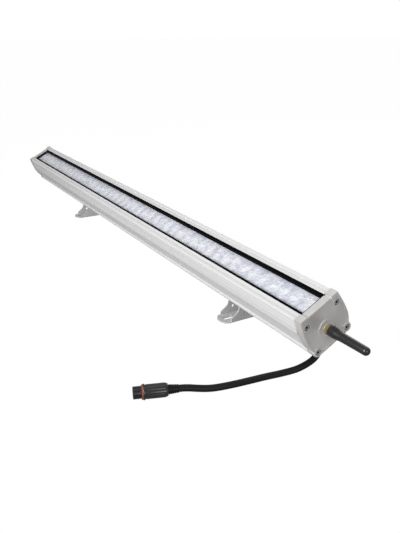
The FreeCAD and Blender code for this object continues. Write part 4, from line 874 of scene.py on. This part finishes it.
class WASHER_OT_stage(bpy.types.Operator):
    """Set up the floor, the soft studio light and the camera"""
    bl_idname = "washer.stage"
    bl_label = "Stage"

    def execute(self, context):
        context.scene.view_settings.view_transform = "Standard"
        self.floor()
        self.world()
        self.camera()
        for light in SOFT_LIGHTS:
            self.softbox(*light)
        return {"FINISHED"}

    def show_white(self, tree, plain_shader, white_shader, shares, surface):
        """Shows plain white over a shader, as far as the kind of ray that meets it says."""
        straight_share, mirrored_share = shares
        rays = tree.nodes.new("ShaderNodeLightPath").outputs
        straight = link_maths(tree, "MAXIMUM", rays["Is Camera Ray"], rays["Is Transmission Ray"])
        straight = link_maths(tree, "MULTIPLY", straight, straight_share)
        mirrored = link_maths(tree, "MULTIPLY", rays["Is Glossy Ray"], mirrored_share)
        mix = tree.nodes.new("ShaderNodeMixShader")
        tree.links.new(link_maths(tree, "MAXIMUM", straight, mirrored), mix.inputs["Fac"])
        tree.links.new(plain_shader, mix.inputs[1])
        tree.links.new(white_shader, mix.inputs[2])
        tree.links.new(mix.outputs["Shader"], surface)

    def floor(self):
        bm = bmesh.new()
        bmesh.ops.create_grid(bm, x_segments=1, y_segments=1, size=FLOOR_SIZE)
        mesh = bpy.data.meshes.new("floor")
        bm.to_mesh(mesh)
        bm.free()
        floor = new_object("floor", mesh)
        finish = Finish("Pale floor", roughness=0.9)
        finish.fix("Base Color", (*colours().floor, 1))
        finish.fix("Specular IOR Level", 0.1)
        white = finish.tree.nodes.new("ShaderNodeEmission")
        white.inputs["Strength"].default_value = FLOOR_WHITE
        self.show_white(finish.tree, finish.shader.outputs["BSDF"], white.outputs["Emission"],
                        FLOOR_SHARES, finish.tree.nodes["Material Output"].inputs["Surface"])
        mesh.materials.append(finish.material)

    def world(self):
        world = bpy.data.worlds.new("Studio")
        world.use_nodes = True
        bpy.context.scene.world = world
        tree = world.node_tree
        soft, white = tree.nodes["Background"], tree.nodes.new("ShaderNodeBackground")
        for background, strength in ((soft, WORLD_LIGHT), (white, WORLD_WHITE)):
            background.inputs["Color"].default_value = (1, 1, 1, 1)
            background.inputs["Strength"].default_value = strength
        self.show_white(tree, soft.outputs["Background"], white.outputs["Background"],
                        WORLD_SHARES, tree.nodes["World Output"].inputs["Surface"])

    def camera(self):
        data = bpy.data.cameras.new("Camera")
        data.sensor_fit = "HORIZONTAL"
        data.sensor_width = SENSOR_WIDTH
        data.lens = FOCAL_PIXELS / IMAGE_WIDTH * SENSOR_WIDTH
        data.clip_end = 100
        camera = new_object("Camera", data)
        right, up = Vector(CAMERA_RIGHT).normalized(), Vector(CAMERA_UP).normalized()
        turn = Matrix((right, up, right.cross(up))).transposed().to_4x4()
        camera.matrix_world = Matrix.Translation(CAMERA_PLACE) @ turn
        bpy.context.scene.camera = camera

    def softbox(self, name, place, target, side, power):
        data = bpy.data.lights.new(name, "AREA")
        data.shape = "SQUARE"
        data.size = side
        data.energy = power
        lamp = new_object(name, data)
        lamp.location = place
        aim = Vector(target) - Vector(place)
        lamp.rotation_euler = aim.to_track_quat("-Z", "Y").to_euler()


OPERATORS = (WASHER_OT_finishes, WASHER_OT_lenses, WASHER_OT_screws, WASHER_OT_antenna,
             WASHER_OT_cable, WASHER_OT_stage)


class WASHER_PT_panel(bpy.types.Panel):
    """The pieces of the light, one button each"""
    bl_label = "Wall washer"
    bl_idname = "WASHER_PT_panel"
    bl_space_type = "VIEW_3D"
    bl_region_type = "UI"
    bl_category = "Wall washer"

    def draw(self, context):
        for operator in OPERATORS:
            self.layout.operator(operator.bl_idname)
        for group in (context.scene.washer_sizes, context.scene.washer_colours):
            column = self.layout.column()
            for name in group.__annotations__:
                column.prop(group, name)


CLASSES = (WasherSizes, WasherColours) + OPERATORS + (WASHER_PT_panel,)


def register():
    for item in CLASSES:
        bpy.utils.register_class(item)
    bpy.types.Scene.washer_sizes = bpy.props.PointerProperty(type=WasherSizes)
    bpy.types.Scene.washer_colours = bpy.props.PointerProperty(type=WasherColours)


def unregister():
    del bpy.types.Scene.washer_colours
    del bpy.types.Scene.washer_sizes
    for item in reversed(CLASSES):
        bpy.utils.unregister_class(item)


def main():
    register()
    bpy.ops.washer.finishes()
    bpy.ops.washer.lenses()
    bpy.ops.washer.cap_screws()
    bpy.ops.washer.antenna()
    bpy.ops.washer.cable()
    bpy.ops.washer.stage()


if __name__ == "__main__":
    main()
